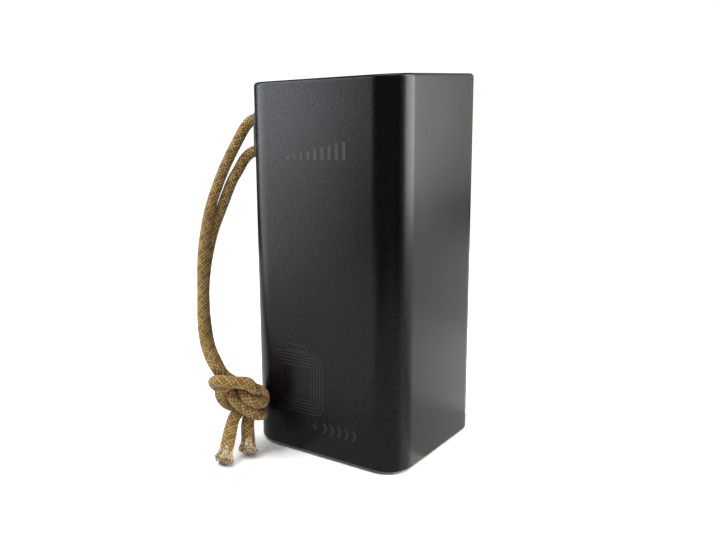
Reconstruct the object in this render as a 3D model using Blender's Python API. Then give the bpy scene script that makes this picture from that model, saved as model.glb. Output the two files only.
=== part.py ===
"""Power bank with a cord lanyard: a rounded square sleeve on end, 70 x 70 x 152 mm.

The origin is on the surface that the power bank stands on, under the middle of the sleeve.
-Y is the front face, +Z is up, and the lanyard leaves the -X face near the front corner.
"""

import math

import bmesh
import bpy
from mathutils import Vector

MM = 0.001
GAP = 0.3 * MM

# Sleeve
BODY_WIDTH = 70.0 * MM
BODY_HEIGHT = 152.0 * MM
CORNER_RADIUS = 11.5 * MM
RIM_RADIUS = 1.5 * MM
WALL = 2.2 * MM
SHELL_BOTTOM = 0.6 * MM
CORNER_STEPS = 8

# End plates and foot
INNER_HALF = BODY_WIDTH / 2 - WALL
PLATE_HALF = INNER_HALF - GAP
PLATE_CORNER = CORNER_RADIUS - WALL - GAP
FOOT_HALF = 28.0 * MM
FOOT_CORNER = 7.0 * MM
FOOT_THICKNESS = 1.4 * MM
FOOT_CHAMFER = 0.3 * MM
COVER_BOTTOM = FOOT_THICKNESS + GAP
COVER_THICKNESS = 2.5 * MM
PANEL_TOP = BODY_HEIGHT - 0.6 * MM
PANEL_THICKNESS = 2.5 * MM
PANEL_BOTTOM = PANEL_TOP - PANEL_THICKNESS

# Cells: three rows of three below, two rows of three above
CELL_RADIUS = 9.15 * MM
CELL_LENGTH = 65.0 * MM
CELL_PITCH = 18.9 * MM
CELL_CAP_RADIUS = 4.0 * MM
CELL_CAP_HEIGHT = 1.0 * MM
CELL_BEVEL = 0.7 * MM
CELL_SIDES = 16
ROUND_SIDES = 20
LOWER_CELL_BOTTOM = 7.0 * MM
UPPER_CELL_BOTTOM = 74.2 * MM
COLUMNS = (-CELL_PITCH, 0.0, CELL_PITCH)
LOWER_ROWS = (-CELL_PITCH, 0.0, CELL_PITCH)
UPPER_ROWS = (-CELL_PITCH, 0.0)

# Cell holders
HOLDER_THICKNESS = 4.0 * MM
HOLDER_INSET = 2.0 * MM
HOLDER_CORNER = 8.5 * MM
HOLDER_HALF = 32.0 * MM
HOLDER_BACK = 10.4 * MM
POCKET_NOTCH = 3.4 * MM
LEAD_NOTCH = (9.45 * MM, 28.3 * MM)

# Bus plates and insulating pads
BUS_THICKNESS = 0.3 * MM
BUS_WIDTH = 7.0 * MM
BUS_HALF = 24.0 * MM
PAD_THICKNESS = 0.6 * MM
PAD_HALF = 27.5 * MM
PAD_CORNER = 4.0 * MM
TOP_PAD_HALF = 23.8 * MM

# Main board, upright behind the upper cells
BOARD_FRONT = 11.0 * MM
BOARD_THICKNESS = 1.6 * MM
BOARD_HALF = 29.0 * MM
BOARD_BOTTOM = 78.0 * MM
BOARD_TOP = 147.8 * MM
PART_FRONT = BOARD_FRONT + BOARD_THICKNESS + GAP
INDUCTOR_PLACE = (-14.0 * MM, 118.0 * MM)
INDUCTOR_HALF = 6.2 * MM
INDUCTOR_CORNER = 1.6 * MM
INDUCTOR_HEIGHT = 5.1 * MM
CAN_RADIUS = 4.0 * MM
CAN_HEIGHT = 9.0 * MM
CAN_Z = 118.0 * MM
CANS = (("capacitor_left", 4.0 * MM), ("capacitor_right", 15.0 * MM))
PART_BEVEL = 0.5 * MM
CHIP_THICKNESS = 0.9 * MM
CHIPS = (
    ("controller_chip", (-12.0 * MM, 99.0 * MM), 3.5 * MM),
    ("charge_chip", (6.0 * MM, 99.0 * MM), 2.5 * MM),
)

# Leads from the battery to the main board: the red one from the bottom plate, the black one
# from the top plate; routes in millimetres
LEAD_DIAMETER = 1.6 * MM
RED_LEAD = (
    (9.45, 22.9, 6.6), (9.45, 26.0, 6.8), (9.45, 29.0, 8.2), (9.45, 29.9, 12.0),
    (9.45, 29.9, 40.0), (9.45, 29.9, 66.0), (9.7, 28.8, 72.0), (10.2, 24.5, 79.0),
    (10.8, 19.0, 85.0), (11.0, 14.6, 89.0), (11.0, 13.8, 93.0),
)
BLACK_LEAD = (
    (25.3, 1.5, 140.2), (28.4, 4.0, 140.2), (30.6, 8.5, 139.4), (31.0, 12.4, 136.0),
    (29.4, 14.8, 131.5), (26.5, 14.4, 128.6), (23.5, 13.9, 127.0),
)

# Sockets: name, centre along X, outside width and thickness, depth, sheet thickness, tongue
# thickness, and the tongue's distance from the inner wall
SOCKET_TOP = PANEL_TOP - 0.4 * MM
SOCKET_ROW = PART_FRONT + 3.0 * MM
SOCKET_OPENING_CORNER = 0.8 * MM
TONGUE_INSET = 0.9 * MM
SOCKETS = (
    ("usb_a_left", -16.0 * MM, 13.1 * MM, 5.8 * MM, 13.0 * MM, 0.4 * MM, 1.8 * MM, 0.6 * MM),
    ("usb_a_right", 2.0 * MM, 13.1 * MM, 5.8 * MM, 13.0 * MM, 0.4 * MM, 1.8 * MM, 0.6 * MM),
    ("usb_c", 18.0 * MM, 8.9 * MM, 3.2 * MM, 7.4 * MM, 0.3 * MM, 0.7 * MM, 0.95 * MM),
)

# Display and power button, in the front half of the top panel
WINDOW_CENTRE = (-7.0 * MM, -14.0 * MM)
WINDOW_SIZE = (34.0 * MM, 16.0 * MM)
WINDOW_CORNER = 3.0 * MM
WINDOW_THICKNESS = 1.2 * MM
WINDOW_LEDGE = 2.0 * MM
BUTTON_CENTRE = (21.0 * MM, -14.0 * MM)
BUTTON_RADIUS = 4.6 * MM
BUTTON_PROUD = 0.5 * MM
BUTTON_FLANGE = 5.6 * MM
BUTTON_FLANGE_THICKNESS = 1.0 * MM
BUTTON_RIM = 0.35 * MM
BUTTON_DISH_RADIUS = 3.5 * MM
BUTTON_DISH_DEPTH = 0.25 * MM
BUTTON_SIDES = 28
BUTTON_TRAVEL = 0.4 * MM

# Board under the display and the button, with the display module and the switch on it
DISPLAY_BOARD_BOTTOM = 141.1 * MM
DISPLAY_BOARD_TOP = DISPLAY_BOARD_BOTTOM + 1.2 * MM
DISPLAY_BOARD_LOW = (-27.0 * MM, -24.0 * MM)
DISPLAY_BOARD_HIGH = (29.0 * MM, -4.0 * MM)
MODULE_INSET = 3.0 * MM
MODULE_DEPTH = 1.2 * MM
SWITCH_HALF = 3.0 * MM
SWITCH_HEIGHT = 3.0 * MM
SWITCH_WELL_RADIUS = 1.75 * MM
SWITCH_FLOOR = 0.8 * MM
PLUNGER_RADIUS = 1.45 * MM

# Bottom cover screws
SCREW_PLACE = 24.0 * MM
SCREW_HEAD_RADIUS = 2.0 * MM
SCREW_HEAD_HEIGHT = 1.0 * MM
SCREW_HEAD_CHAMFER = 0.3 * MM
SCREW_SHANK_RADIUS = 1.0 * MM
SCREW_LENGTH = 2.6 * MM
SCREW_RECESS = 0.2 * MM
CROSS_HALF = 1.2 * MM
CROSS_WIDTH = 0.7 * MM
CROSS_DEPTH = 0.5 * MM

# Lanyard
CORD_DIAMETER = 4.5 * MM
CORD_STEP = 4.5 * MM
LOOP_STEP = 1.5 * MM
ANCHOR_Y = -21.5 * MM
ANCHOR_Z = 130.9 * MM
HOLE_SPACING = 13.2 * MM
HOLE_RADIUS = 2.7 * MM
ANCHOR_FACE = -37.0 * MM
ANCHOR_WIDTH = 9.6 * MM
ANCHOR_HEIGHT = 22.8 * MM
ANCHOR_THICKNESS = 1.6 * MM
ANCHOR_BEVEL = 0.35 * MM
POCKET_WIDTH = 7.4 * MM
POCKET_HEIGHT = 20.6 * MM
POCKET_WALL = 0.7 * MM
POCKET_BACK = -28.9 * MM

# Routes of the two strands, from the anchor's holes down to the knot, in millimetres
UPPER_STRAND = (
    (-36.9, -21.5, 137.5), (-39.0, -21.5, 137.4), (-42.3, -21.7, 136.1), (-44.9, -22.6, 133.0),
    (-46.8, -24.4, 128.5), (-49.2, -26.4, 123.0), (-52.5, -29.0, 114.5), (-55.6, -33.0, 102.0),
    (-57.2, -35.8, 90.0), (-57.0, -38.8, 77.6), (-55.2, -41.7, 64.5), (-52.6, -45.2, 51.8),
    (-48.8, -48.0, 43.4), (-44.3, -49.8, 38.0), (-41.4, -50.5, 35.4),
)
LOWER_STRAND = (
    (-36.9, -21.5, 124.3), (-39.0, -21.5, 124.1), (-42.3, -21.9, 122.9), (-44.9, -23.0, 120.2),
    (-46.6, -24.8, 116.2), (-49.2, -26.5, 111.1), (-52.9, -28.3, 101.7), (-57.2, -30.8, 89.5),
    (-59.2, -33.1, 77.6), (-59.4, -35.3, 67.7), (-57.7, -37.9, 58.1), (-54.4, -40.9, 49.4),
    (-50.2, -43.8, 41.8), (-46.5, -45.2, 37.2), (-44.9, -45.8, 35.8),
)
LEFT_TAIL = ((-31.3, -52.4, 14.2), (-30.9, -54.8, 11.3), (-29.5, -59.0, 6.3), (-28.9, -61.9, 2.9))
RIGHT_TAIL = ((-28.3, -45.9, 13.1), (-27.8, -47.2, 10.8), (-26.5, -48.9, 7.0), (-25.5, -50.4, 3.2))
LOOP = (
    (-36.3, -21.5, 137.5), (-35.0, -21.5, 137.5), (-33.6, -21.5, 136.7), (-32.4, -21.5, 134.8),
    (-32.1, -21.5, 132.4), (-32.1, -21.5, 129.4), (-32.4, -21.5, 127.0), (-33.6, -21.5, 125.1),
    (-35.0, -21.5, 124.3), (-36.3, -21.5, 124.3),
)

# Knot: an upright rounded lump, wider than it is thick, turned about Z
KNOT_CENTRE = (-31.2 * MM, -47.2 * MM, 24.2 * MM)
KNOT_HALF = (13.4 * MM, 8.6 * MM, 9.2 * MM)
KNOT_SQUARENESS = 0.82
KNOT_TURN = math.radians(41.0)
KNOT_SEGMENTS = 20
KNOT_RINGS = 10

# Colours (linear), roughness and metallic
LOOKS = {
    "shell": ((0.045, 0.047, 0.052), 0.42, 0.7),
    "panel": ((0.02, 0.02, 0.022), 0.5, 0.0),
    "window": ((0.01, 0.01, 0.012), 0.08, 0.0),
    "button": ((0.05, 0.05, 0.055), 0.35, 0.6),
    "steel": ((0.55, 0.55, 0.56), 0.3, 1.0),
    "tongue": ((0.7, 0.7, 0.68), 0.5, 0.0),
    "board": ((0.01, 0.09, 0.04), 0.45, 0.0),
    "ferrite": ((0.06, 0.06, 0.06), 0.7, 0.0),
    "chip": ((0.02, 0.02, 0.02), 0.4, 0.0),
    "capacitor": ((0.5, 0.5, 0.5), 0.3, 1.0),
    "holder": ((0.06, 0.06, 0.06), 0.6, 0.0),
    "cell": ((0.02, 0.16, 0.32), 0.3, 0.0),
    "nickel": ((0.6, 0.57, 0.5), 0.3, 1.0),
    "pad": ((0.5, 0.48, 0.42), 0.9, 0.0),
    "red_lead": ((0.5, 0.02, 0.02), 0.5, 0.0),
    "black_lead": ((0.02, 0.02, 0.02), 0.5, 0.0),
    "cover": ((0.02, 0.02, 0.022), 0.55, 0.0),
    "screw": ((0.3, 0.3, 0.31), 0.35, 1.0),
    "foot": ((0.03, 0.03, 0.03), 0.9, 0.0),
    "anchor": ((0.03, 0.03, 0.034), 0.4, 0.5),
    "cord": ((0.32, 0.23, 0.11), 0.85, 0.0),
}


def clear_scene():
    """Remove everything, so that the model starts from an empty file."""
    for obj in list(bpy.data.objects):
        bpy.data.objects.remove(obj, do_unlink=True)


def material(look):
    """The Principled material of one look, made once."""
    found = bpy.data.materials.get(look)
    if found:
        return found
    colour, roughness, metallic = LOOKS[look]
    made = bpy.data.materials.new(look)
    made.use_nodes = True
    shader = made.node_tree.nodes["Principled BSDF"]
    shader.inputs["Base Color"].default_value = (*colour, 1.0)
    shader.inputs["Roughness"].default_value = roughness
    shader.inputs["Metallic"].default_value = metallic
    return made


def add_object(name, bm, look, location=(0.0, 0.0, 0.0), parent=None):
    """Turn a bmesh into a named object with its material and smooth round sides."""
    bmesh.ops.recalc_face_normals(bm, faces=bm.faces)
    mesh = bpy.data.meshes.new(name)
    bm.to_mesh(mesh)
    bm.free()
    mesh.shade_smooth()
    mesh.set_sharp_from_angle(angle=math.radians(35))
    mesh.materials.append(material(look))
    obj = bpy.data.objects.new(name, mesh)
    obj.location = location
    obj.parent = parent
    bpy.context.scene.collection.objects.link(obj)
    return obj


def rounded_outline(half_x, half_y, radius, steps, centre=(0.0, 0.0)):
    """Points of a rounded rectangle, anticlockwise seen from +Z."""
    points = []
    corners = ((1, 1, 0), (-1, 1, 1), (-1, -1, 2), (1, -1, 3))
    for sign_x, sign_y, quarter in corners:
        for step in range(steps + 1):
            angle = (quarter + step / steps) * math.pi / 2
            x = centre[0] + sign_x * (half_x - radius) + radius * math.cos(angle)
            y = centre[1] + sign_y * (half_y - radius) + radius * math.sin(angle)
            points.append((x, y))
    return points


def circle_outline(radius, sides, centre=(0.0, 0.0)):
    """Points of a circle, anticlockwise seen from +Z."""
    points = []
    for side in range(sides):
        angle = 2 * math.pi * side / sides
        points.append((centre[0] + radius * math.cos(angle), centre[1] + radius * math.sin(angle)))
    return points


def loft(rings, closed=False, bm=None):
    """Skin a list of (outline, z) rings; closed joins the last ring to the first."""
    bm = bm or bmesh.new()
    loops = [[bm.verts.new((x, y, z)) for x, y in outline] for outline, z in rings]
    count = len(loops[0])
    pairs = list(zip(loops, loops[1:]))
    if closed:
        pairs.append((loops[-1], loops[0]))
    for low, high in pairs:
        for i in range(count):
            j = (i + 1) % count
            bm.faces.new((low[i], low[j], high[j], high[i]))
    if not closed:
        bm.faces.new(list(reversed(loops[0])))
        bm.faces.new(loops[-1])
    return bm


def prism(outline, bottom, top, bm=None):
    """A straight extrusion of an outline between two heights."""
    return loft([(outline, bottom), (outline, top)], bm=bm)


def turned(profile, sides):
    """A solid of revolution about Z from (radius, height) steps."""
    return loft([(circle_outline(radius, sides), height) for radius, height in profile])


def box(low, high, bm=None):
    """A plain block between two corners."""
    outline = [(low[0], low[1]), (high[0], low[1]), (high[0], high[1]), (low[0], high[1])]
    return prism(outline, low[2], high[2], bm)


def add_cutter(name, bm):
    """A hidden solid that only cuts other objects."""
    bmesh.ops.recalc_face_normals(bm, faces=bm.faces)
    mesh = bpy.data.meshes.new(name)
    bm.to_mesh(mesh)
    bm.free()
    cutter = bpy.data.objects.new(name, mesh)
    cutter.hide_render = True
    cutter.display_type = "WIRE"
    bpy.context.scene.collection.objects.link(cutter)
    return cutter


def cut(obj, *cutters):
    """Take the cutters out of an object with exact Boolean modifiers."""
    for cutter in cutters:
        modifier = obj.modifiers.new(cutter.name, "BOOLEAN")
        modifier.operation = "DIFFERENCE"
        modifier.solver = "EXACT"
        modifier.object = cutter


def turn_to_x(bm):
    """Turn a solid made along +Z so that it runs along +X."""
    for vert in bm.verts:
        x, y, z = vert.co
        vert.co = (z, y, -x)


def smooth_route(points, spacing):
    """Evenly spaced points on a smooth curve through the route's points."""
    route = [Vector(point) for point in points]
    route = [2 * route[0] - route[1]] + route + [2 * route[-1] - route[-2]]
    fine = []
    steps = 24
    for i in range(1, len(route) - 2):
        before, start, end, after = route[i - 1:i + 3]
        for step in range(steps):
            t = step / steps
            value = 2 * start
            value = value + (end - before) * t
            value = value + (2 * before - 5 * start + 4 * end - after) * t ** 2
            value = value + (3 * start - before - 3 * end + after) * t ** 3
            fine.append(value / 2)
    fine.append(route[-2])
    lengths = [0.0]
    for a, b in zip(fine, fine[1:]):
        lengths.append(lengths[-1] + (b - a).length)
    count = max(3, round(lengths[-1] / spacing) + 1)
    even = []
    for k in range(count):
        wanted = lengths[-1] * k / (count - 1)
        i = max(j for j in range(len(lengths)) if lengths[j] <= wanted + 1e-12)
        i = min(i, len(fine) - 2)
        share = (wanted - lengths[i]) / (lengths[i + 1] - lengths[i])
        even.append(fine[i].lerp(fine[i + 1], share))
    return even


def add_tube(name, points, diameter, look, spacing):
    """A round cord along a smooth route given in metres."""
    even = smooth_route(points, spacing)
    curve = bpy.data.curves.new(name, "CURVE")
    curve.dimensions = "3D"
    curve.bevel_depth = diameter / 2
    curve.bevel_resolution = 2
    curve.use_fill_caps = True
    spline = curve.splines.new("POLY")
    spline.points.add(len(even) - 1)
    for slot, point in zip(spline.points, even):
        slot.co = (*point, 1.0)
    curve.materials.append(material(look))
    obj = bpy.data.objects.new(name, curve)
    bpy.context.scene.collection.objects.link(obj)
    return obj


def in_metres(points):
    """A route in millimetres as a route in metres."""
    return [tuple(value * MM for value in point) for point in points]


def sleeve_outline(inset):
    """The sleeve's outline, moved in from its outer surface."""
    half = BODY_WIDTH / 2 - inset
    return rounded_outline(half, half, CORNER_RADIUS - inset, CORNER_STEPS)


def make_shell():
    """The sleeve: one wall turned in on itself, rounded at both rims, cut for the anchor."""
    rings = []
    fillet_steps = 3
    for step in range(fillet_steps + 1):
        angle = math.pi / 2 * step / fillet_steps
        inset = RIM_RADIUS * (1 - math.sin(angle))
        height = SHELL_BOTTOM + RIM_RADIUS * (1 - math.cos(angle))
        rings.append((sleeve_outline(inset), height))
    for step in range(fillet_steps + 1):
        angle = math.pi / 2 * step / fillet_steps
        inset = RIM_RADIUS * (1 - math.cos(angle))
        height = BODY_HEIGHT - RIM_RADIUS * (1 - math.sin(angle))
        rings.append((sleeve_outline(inset), height))
    rings.append((sleeve_outline(WALL), BODY_HEIGHT))
    rings.append((sleeve_outline(WALL), SHELL_BOTTOM))
    shell = add_object("shell", loft(rings, closed=True), "shell")
    opening = anchor_prism(POCKET_WIDTH, POCKET_HEIGHT, -BODY_WIDTH, POCKET_BACK)
    cut(shell, add_cutter("cut_shell_anchor", opening))


def anchor_prism(width, height, start, end):
    """An oblong block through the -X wall at the anchor, between two x positions."""
    outline = rounded_outline(height / 2, width / 2, width / 2 * 0.98, 6)
    bm = prism(outline, start, end)
    turn_to_x(bm)
    bmesh.ops.translate(bm, verts=bm.verts, vec=(0.0, ANCHOR_Y, ANCHOR_Z))
    return bm


def make_anchor():
    """The lanyard's anchor: a proud oblong plate with two holes, and a closed pocket behind it."""
    plate_back = ANCHOR_FACE + ANCHOR_THICKNESS
    plate = add_object(
        "lanyard_anchor", anchor_prism(ANCHOR_WIDTH, ANCHOR_HEIGHT, ANCHOR_FACE, plate_back), "anchor"
    )
    holes = bmesh.new()
    for sign in (-1, 1):
        centre = (-ANCHOR_Z - sign * HOLE_SPACING / 2, ANCHOR_Y)
        outline = circle_outline(HOLE_RADIUS, ROUND_SIDES, centre)
        prism(outline, ANCHOR_FACE - MM, plate_back + MM, holes)
    turn_to_x(holes)
    cut(plate, add_cutter("cut_anchor_holes", holes))
    bevel = plate.modifiers.new("bevel", "BEVEL")
    bevel.width = ANCHOR_BEVEL
    bevel.segments = 1
    bevel.limit_method = "ANGLE"
    bevel.angle_limit = math.radians(50)

    front = plate_back + GAP
    outer = (POCKET_WIDTH - 2 * GAP, POCKET_HEIGHT - 2 * GAP)
    pocket = add_object("lanyard_pocket", anchor_prism(*outer, front, POCKET_BACK), "anchor")
    inner = (outer[0] - 2 * POCKET_WALL, outer[1] - 2 * POCKET_WALL)
    hollow = anchor_prism(*inner, front - MM, POCKET_BACK - POCKET_WALL)
    cut(pocket, add_cutter("cut_pocket", hollow))


def make_top_panel():
    """The top panel, with openings for the sockets, the display window and the button."""
    outline = rounded_outline(PLATE_HALF, PLATE_HALF, PLATE_CORNER, CORNER_STEPS)
    panel = add_object("top_panel", prism(outline, PANEL_BOTTOM, PANEL_TOP), "panel")
    cutter = bmesh.new()
    low = PANEL_BOTTOM - MM
    high = PANEL_TOP + MM
    for _, x, width, thickness, _, _, _, _ in SOCKETS:
        half = (width / 2 + GAP, thickness / 2 + GAP)
        hole = rounded_outline(*half, SOCKET_OPENING_CORNER, 3, (x, SOCKET_ROW))
        prism(hole, low, high, cutter)
    seat = PANEL_TOP - WINDOW_THICKNESS - GAP
    window_half = (WINDOW_SIZE[0] / 2 + GAP, WINDOW_SIZE[1] / 2 + GAP)
    window_hole = rounded_outline(*window_half, WINDOW_CORNER + GAP, 6, WINDOW_CENTRE)
    prism(window_hole, seat, high, cutter)
    prism(circle_outline(BUTTON_RADIUS + GAP, BUTTON_SIDES, BUTTON_CENTRE), low, high, cutter)
    cut(panel, add_cutter("cut_panel", cutter))
    view_half = (window_half[0] - WINDOW_LEDGE, window_half[1] - WINDOW_LEDGE)
    view_hole = rounded_outline(*view_half, WINDOW_CORNER - WINDOW_LEDGE / 2, 6, WINDOW_CENTRE)
    cut(panel, add_cutter("cut_panel_view", prism(view_hole, low, seat + MM)))


def make_display():
    """The display window, the display module under it and the small board that carries it."""
    half = (WINDOW_SIZE[0] / 2, WINDOW_SIZE[1] / 2)
    outline = rounded_outline(*half, WINDOW_CORNER, 6, WINDOW_CENTRE)
    window_bottom = PANEL_TOP - WINDOW_THICKNESS
    add_object("display_window", prism(outline, window_bottom, PANEL_TOP), "window")
    low = (*DISPLAY_BOARD_LOW, DISPLAY_BOARD_BOTTOM)
    high = (*DISPLAY_BOARD_HIGH, DISPLAY_BOARD_TOP)
    add_object("display_board", box(low, high), "board")
    module_half = (half[0] - MODULE_INSET, half[1] - MODULE_INSET)
    module = rounded_outline(*module_half, MM, 2, WINDOW_CENTRE)
    module_bottom = DISPLAY_BOARD_TOP + GAP
    module_top = window_bottom - MODULE_DEPTH
    add_object("display_module", prism(module, module_bottom, module_top), "chip")


def make_button():
    """The power button and its plunger on one empty, over a fixed switch body."""
    empty = bpy.data.objects.new("button_axis", None)
    empty.location = (*BUTTON_CENTRE, PANEL_TOP)
    bpy.context.scene.collection.objects.link(empty)
    flange_top = PANEL_BOTTOM - PANEL_TOP - GAP
    flange_bottom = flange_top - BUTTON_FLANGE_THICKNESS
    rim_side = BUTTON_PROUD - BUTTON_RIM
    rim_middle = (BUTTON_RADIUS - 0.3 * BUTTON_RIM, BUTTON_PROUD - 0.3 * BUTTON_RIM)
    dish_edge = BUTTON_PROUD - 0.2 * BUTTON_DISH_DEPTH
    profile = (
        (BUTTON_FLANGE, flange_bottom),
        (BUTTON_FLANGE, flange_top),
        (BUTTON_RADIUS, flange_top),
        (BUTTON_RADIUS, rim_side),
        rim_middle,
        (BUTTON_RADIUS - BUTTON_RIM, BUTTON_PROUD),
        (BUTTON_DISH_RADIUS, dish_edge),
        (BUTTON_DISH_RADIUS / 2, BUTTON_PROUD - BUTTON_DISH_DEPTH),
    )
    add_object("power_button", turned(profile, BUTTON_SIDES), "button", parent=empty)

    switch_bottom = DISPLAY_BOARD_TOP + GAP
    switch_top = switch_bottom + SWITCH_HEIGHT
    body = rounded_outline(SWITCH_HALF, SWITCH_HALF, SWITCH_HALF / 5, 3, BUTTON_CENTRE)
    switch = add_object("switch_body", prism(body, switch_bottom, switch_top), "chip")
    well = circle_outline(SWITCH_WELL_RADIUS, ROUND_SIDES, BUTTON_CENTRE)
    well_bottom = switch_bottom + SWITCH_FLOOR
    cut(switch, add_cutter("cut_switch_well", prism(well, well_bottom, switch_top + MM)))
    plunger_bottom = well_bottom + BUTTON_TRAVEL + GAP - PANEL_TOP
    plunger_top = flange_bottom - GAP
    plunger = prism(circle_outline(PLUNGER_RADIUS, ROUND_SIDES), plunger_bottom, plunger_top)
    add_object("switch_plunger", plunger, "foot", parent=empty)


def make_sockets():
    """Each socket's folded steel shell, and the contact tongue inside it."""
    for name, x, width, thickness, depth, sheet, tongue, offset in SOCKETS:
        is_usb_c = name == "usb_c"
        radius = thickness / 2 * 0.98 if is_usb_c else 0.6 * MM
        centre = (x, SOCKET_ROW)
        bottom = SOCKET_TOP - depth
        outer = rounded_outline(width / 2, thickness / 2, radius, 5, centre)
        shell = add_object(name + "_shell", prism(outer, bottom, SOCKET_TOP), "steel")
        half = (width / 2 - sheet, thickness / 2 - sheet)
        inner_radius = max(radius - sheet, 0.25 * MM)
        inner = rounded_outline(*half, inner_radius, 5, centre)
        hollow = prism(inner, bottom + sheet, SOCKET_TOP + MM)
        cut(shell, add_cutter("cut_" + name, hollow))
        tongue_half = half[0] - (1.1 * MM if is_usb_c else 0.6 * MM)
        tongue_centre = SOCKET_ROW - half[1] + offset + tongue / 2
        low = (x - tongue_half, tongue_centre - tongue / 2, bottom + sheet + GAP)
        high = (x + tongue_half, tongue_centre + tongue / 2, SOCKET_TOP - TONGUE_INSET)
        add_object(name + "_tongue", box(low, high), "tongue")


def make_main_board():
    """The upright main board and the parts on its back."""
    low = (-BOARD_HALF, BOARD_FRONT, BOARD_BOTTOM)
    high = (BOARD_HALF, BOARD_FRONT + BOARD_THICKNESS, BOARD_TOP)
    add_object("main_board", box(low, high), "board")

    coil = rounded_outline(INDUCTOR_HALF, INDUCTOR_HALF, INDUCTOR_CORNER, 4)
    coil_top_half = INDUCTOR_HALF - PART_BEVEL
    coil_top = rounded_outline(coil_top_half, coil_top_half, INDUCTOR_CORNER - PART_BEVEL, 4)
    coil_rings = [(coil, 0.0), (coil, INDUCTOR_HEIGHT - PART_BEVEL), (coil_top, INDUCTOR_HEIGHT)]
    add_on_board("power_inductor", loft(coil_rings), "ferrite", INDUCTOR_PLACE)
    can_profile = (
        (CAN_RADIUS, 0.0),
        (CAN_RADIUS, CAN_HEIGHT - PART_BEVEL),
        (CAN_RADIUS - PART_BEVEL, CAN_HEIGHT),
    )
    for name, x in CANS:
        add_on_board(name, turned(can_profile, ROUND_SIDES), "capacitor", (x, CAN_Z))
    for name, place, half in CHIPS:
        chip = rounded_outline(half, half, half / 15, 1)
        add_on_board(name, prism(chip, 0.0, CHIP_THICKNESS), "chip", place)


def add_on_board(name, bm, look, place):
    """Stand a piece made along +Z on the back of the board, which faces +Y."""
    for vert in bm.verts:
        x, y, z = vert.co
        vert.co = (-x, z, y)
    add_object(name, bm, look, location=(place[0], PART_FRONT, place[1]))


def cell_places(rows):
    """Centres of a tier's cells, row by row."""
    return [(x, y) for y in rows for x in COLUMNS]


def make_cells():
    """The cells, all of one shape, numbered from the front left of the lower tier."""
    can_top = CELL_LENGTH - CELL_CAP_HEIGHT
    profile = (
        (CELL_RADIUS - CELL_BEVEL, 0.0),
        (CELL_RADIUS, CELL_BEVEL),
        (CELL_RADIUS, can_top - CELL_BEVEL),
        (CELL_RADIUS - CELL_BEVEL, can_top),
        (CELL_CAP_RADIUS, can_top),
        (CELL_CAP_RADIUS, CELL_LENGTH),
    )
    number = 1
    tiers = ((LOWER_ROWS, LOWER_CELL_BOTTOM), (UPPER_ROWS, UPPER_CELL_BOTTOM))
    for rows, bottom in tiers:
        for x, y in cell_places(rows):
            cell = turned(profile, CELL_SIDES)
            add_object("cell_%02d" % number, cell, "cell", location=(x, y, bottom))
            number += 1


def holder_outline(rows):
    """A holder reaches the sleeve all round, or stops in front of the main board."""
    if len(rows) == len(LOWER_ROWS):
        return rounded_outline(HOLDER_HALF, HOLDER_HALF, HOLDER_CORNER, 4)
    centre = (0.0, (HOLDER_BACK - HOLDER_HALF) / 2)
    half_y = (HOLDER_BACK + HOLDER_HALF) / 2
    return rounded_outline(HOLDER_HALF, half_y, HOLDER_CORNER, 4, centre)


def make_holders():
    """A moulded plate with round holes at each end of both tiers of cells."""
    high_inset = CELL_LENGTH - HOLDER_INSET - HOLDER_THICKNESS
    holders = (
        ("holder_lower_bottom", LOWER_ROWS, LOWER_CELL_BOTTOM + HOLDER_INSET),
        ("holder_lower_top", LOWER_ROWS, LOWER_CELL_BOTTOM + high_inset),
        ("holder_upper_bottom", UPPER_ROWS, UPPER_CELL_BOTTOM + HOLDER_INSET),
        ("holder_upper_top", UPPER_ROWS, UPPER_CELL_BOTTOM + high_inset),
    )
    for name, rows, bottom in holders:
        top = bottom + HOLDER_THICKNESS
        holder = add_object(name, prism(holder_outline(rows), bottom, top), "holder")
        holes = bmesh.new()
        for place in cell_places(rows):
            hole = circle_outline(CELL_RADIUS + GAP / 2, CELL_SIDES, place)
            prism(hole, bottom - MM, top + MM, holes)
        cut(holder, add_cutter("cut_" + name, holes))
        if rows == LOWER_ROWS:
            low = (LEAD_NOTCH[0] - LEAD_DIAMETER, LEAD_NOTCH[1], bottom - MM)
            high = (LEAD_NOTCH[0] + LEAD_DIAMETER, HOLDER_HALF + MM, top + MM)
            cut(holder, add_cutter("cut_lead_notch_" + name, box(low, high)))
        if name == "holder_upper_top":
            half_y = POCKET_WIDTH / 2 + GAP
            low = (-HOLDER_HALF - MM, ANCHOR_Y - half_y, bottom - MM)
            high = (-HOLDER_HALF + POCKET_NOTCH, ANCHOR_Y + half_y, top + MM)
            cut(holder, add_cutter("cut_holder_notch", box(low, high)))


def make_bus_plates():
    """Nickel combs that join the rows of cells: a spine with one finger on each row."""
    middle = (LOWER_CELL_BOTTOM + CELL_LENGTH + UPPER_CELL_BOTTOM - BUS_THICKNESS) / 2
    plates = (
        ("bus_bottom", LOWER_ROWS, LOWER_CELL_BOTTOM - GAP - BUS_THICKNESS),
        ("bus_middle", LOWER_ROWS, middle),
        ("bus_top", UPPER_ROWS, UPPER_CELL_BOTTOM + CELL_LENGTH + GAP),
    )
    half = BUS_WIDTH / 2
    for name, rows, bottom in plates:
        outline = []
        for y in rows:
            outline.append((half, y - half))
            outline.append((BUS_HALF, y - half))
            outline.append((BUS_HALF, y + half))
            outline.append((half, y + half))
        mirrored = [(-x, y) for x, y in reversed(outline)]
        plate = prism(outline + mirrored, bottom, bottom + BUS_THICKNESS)
        add_object(name, plate, "nickel")


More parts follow.
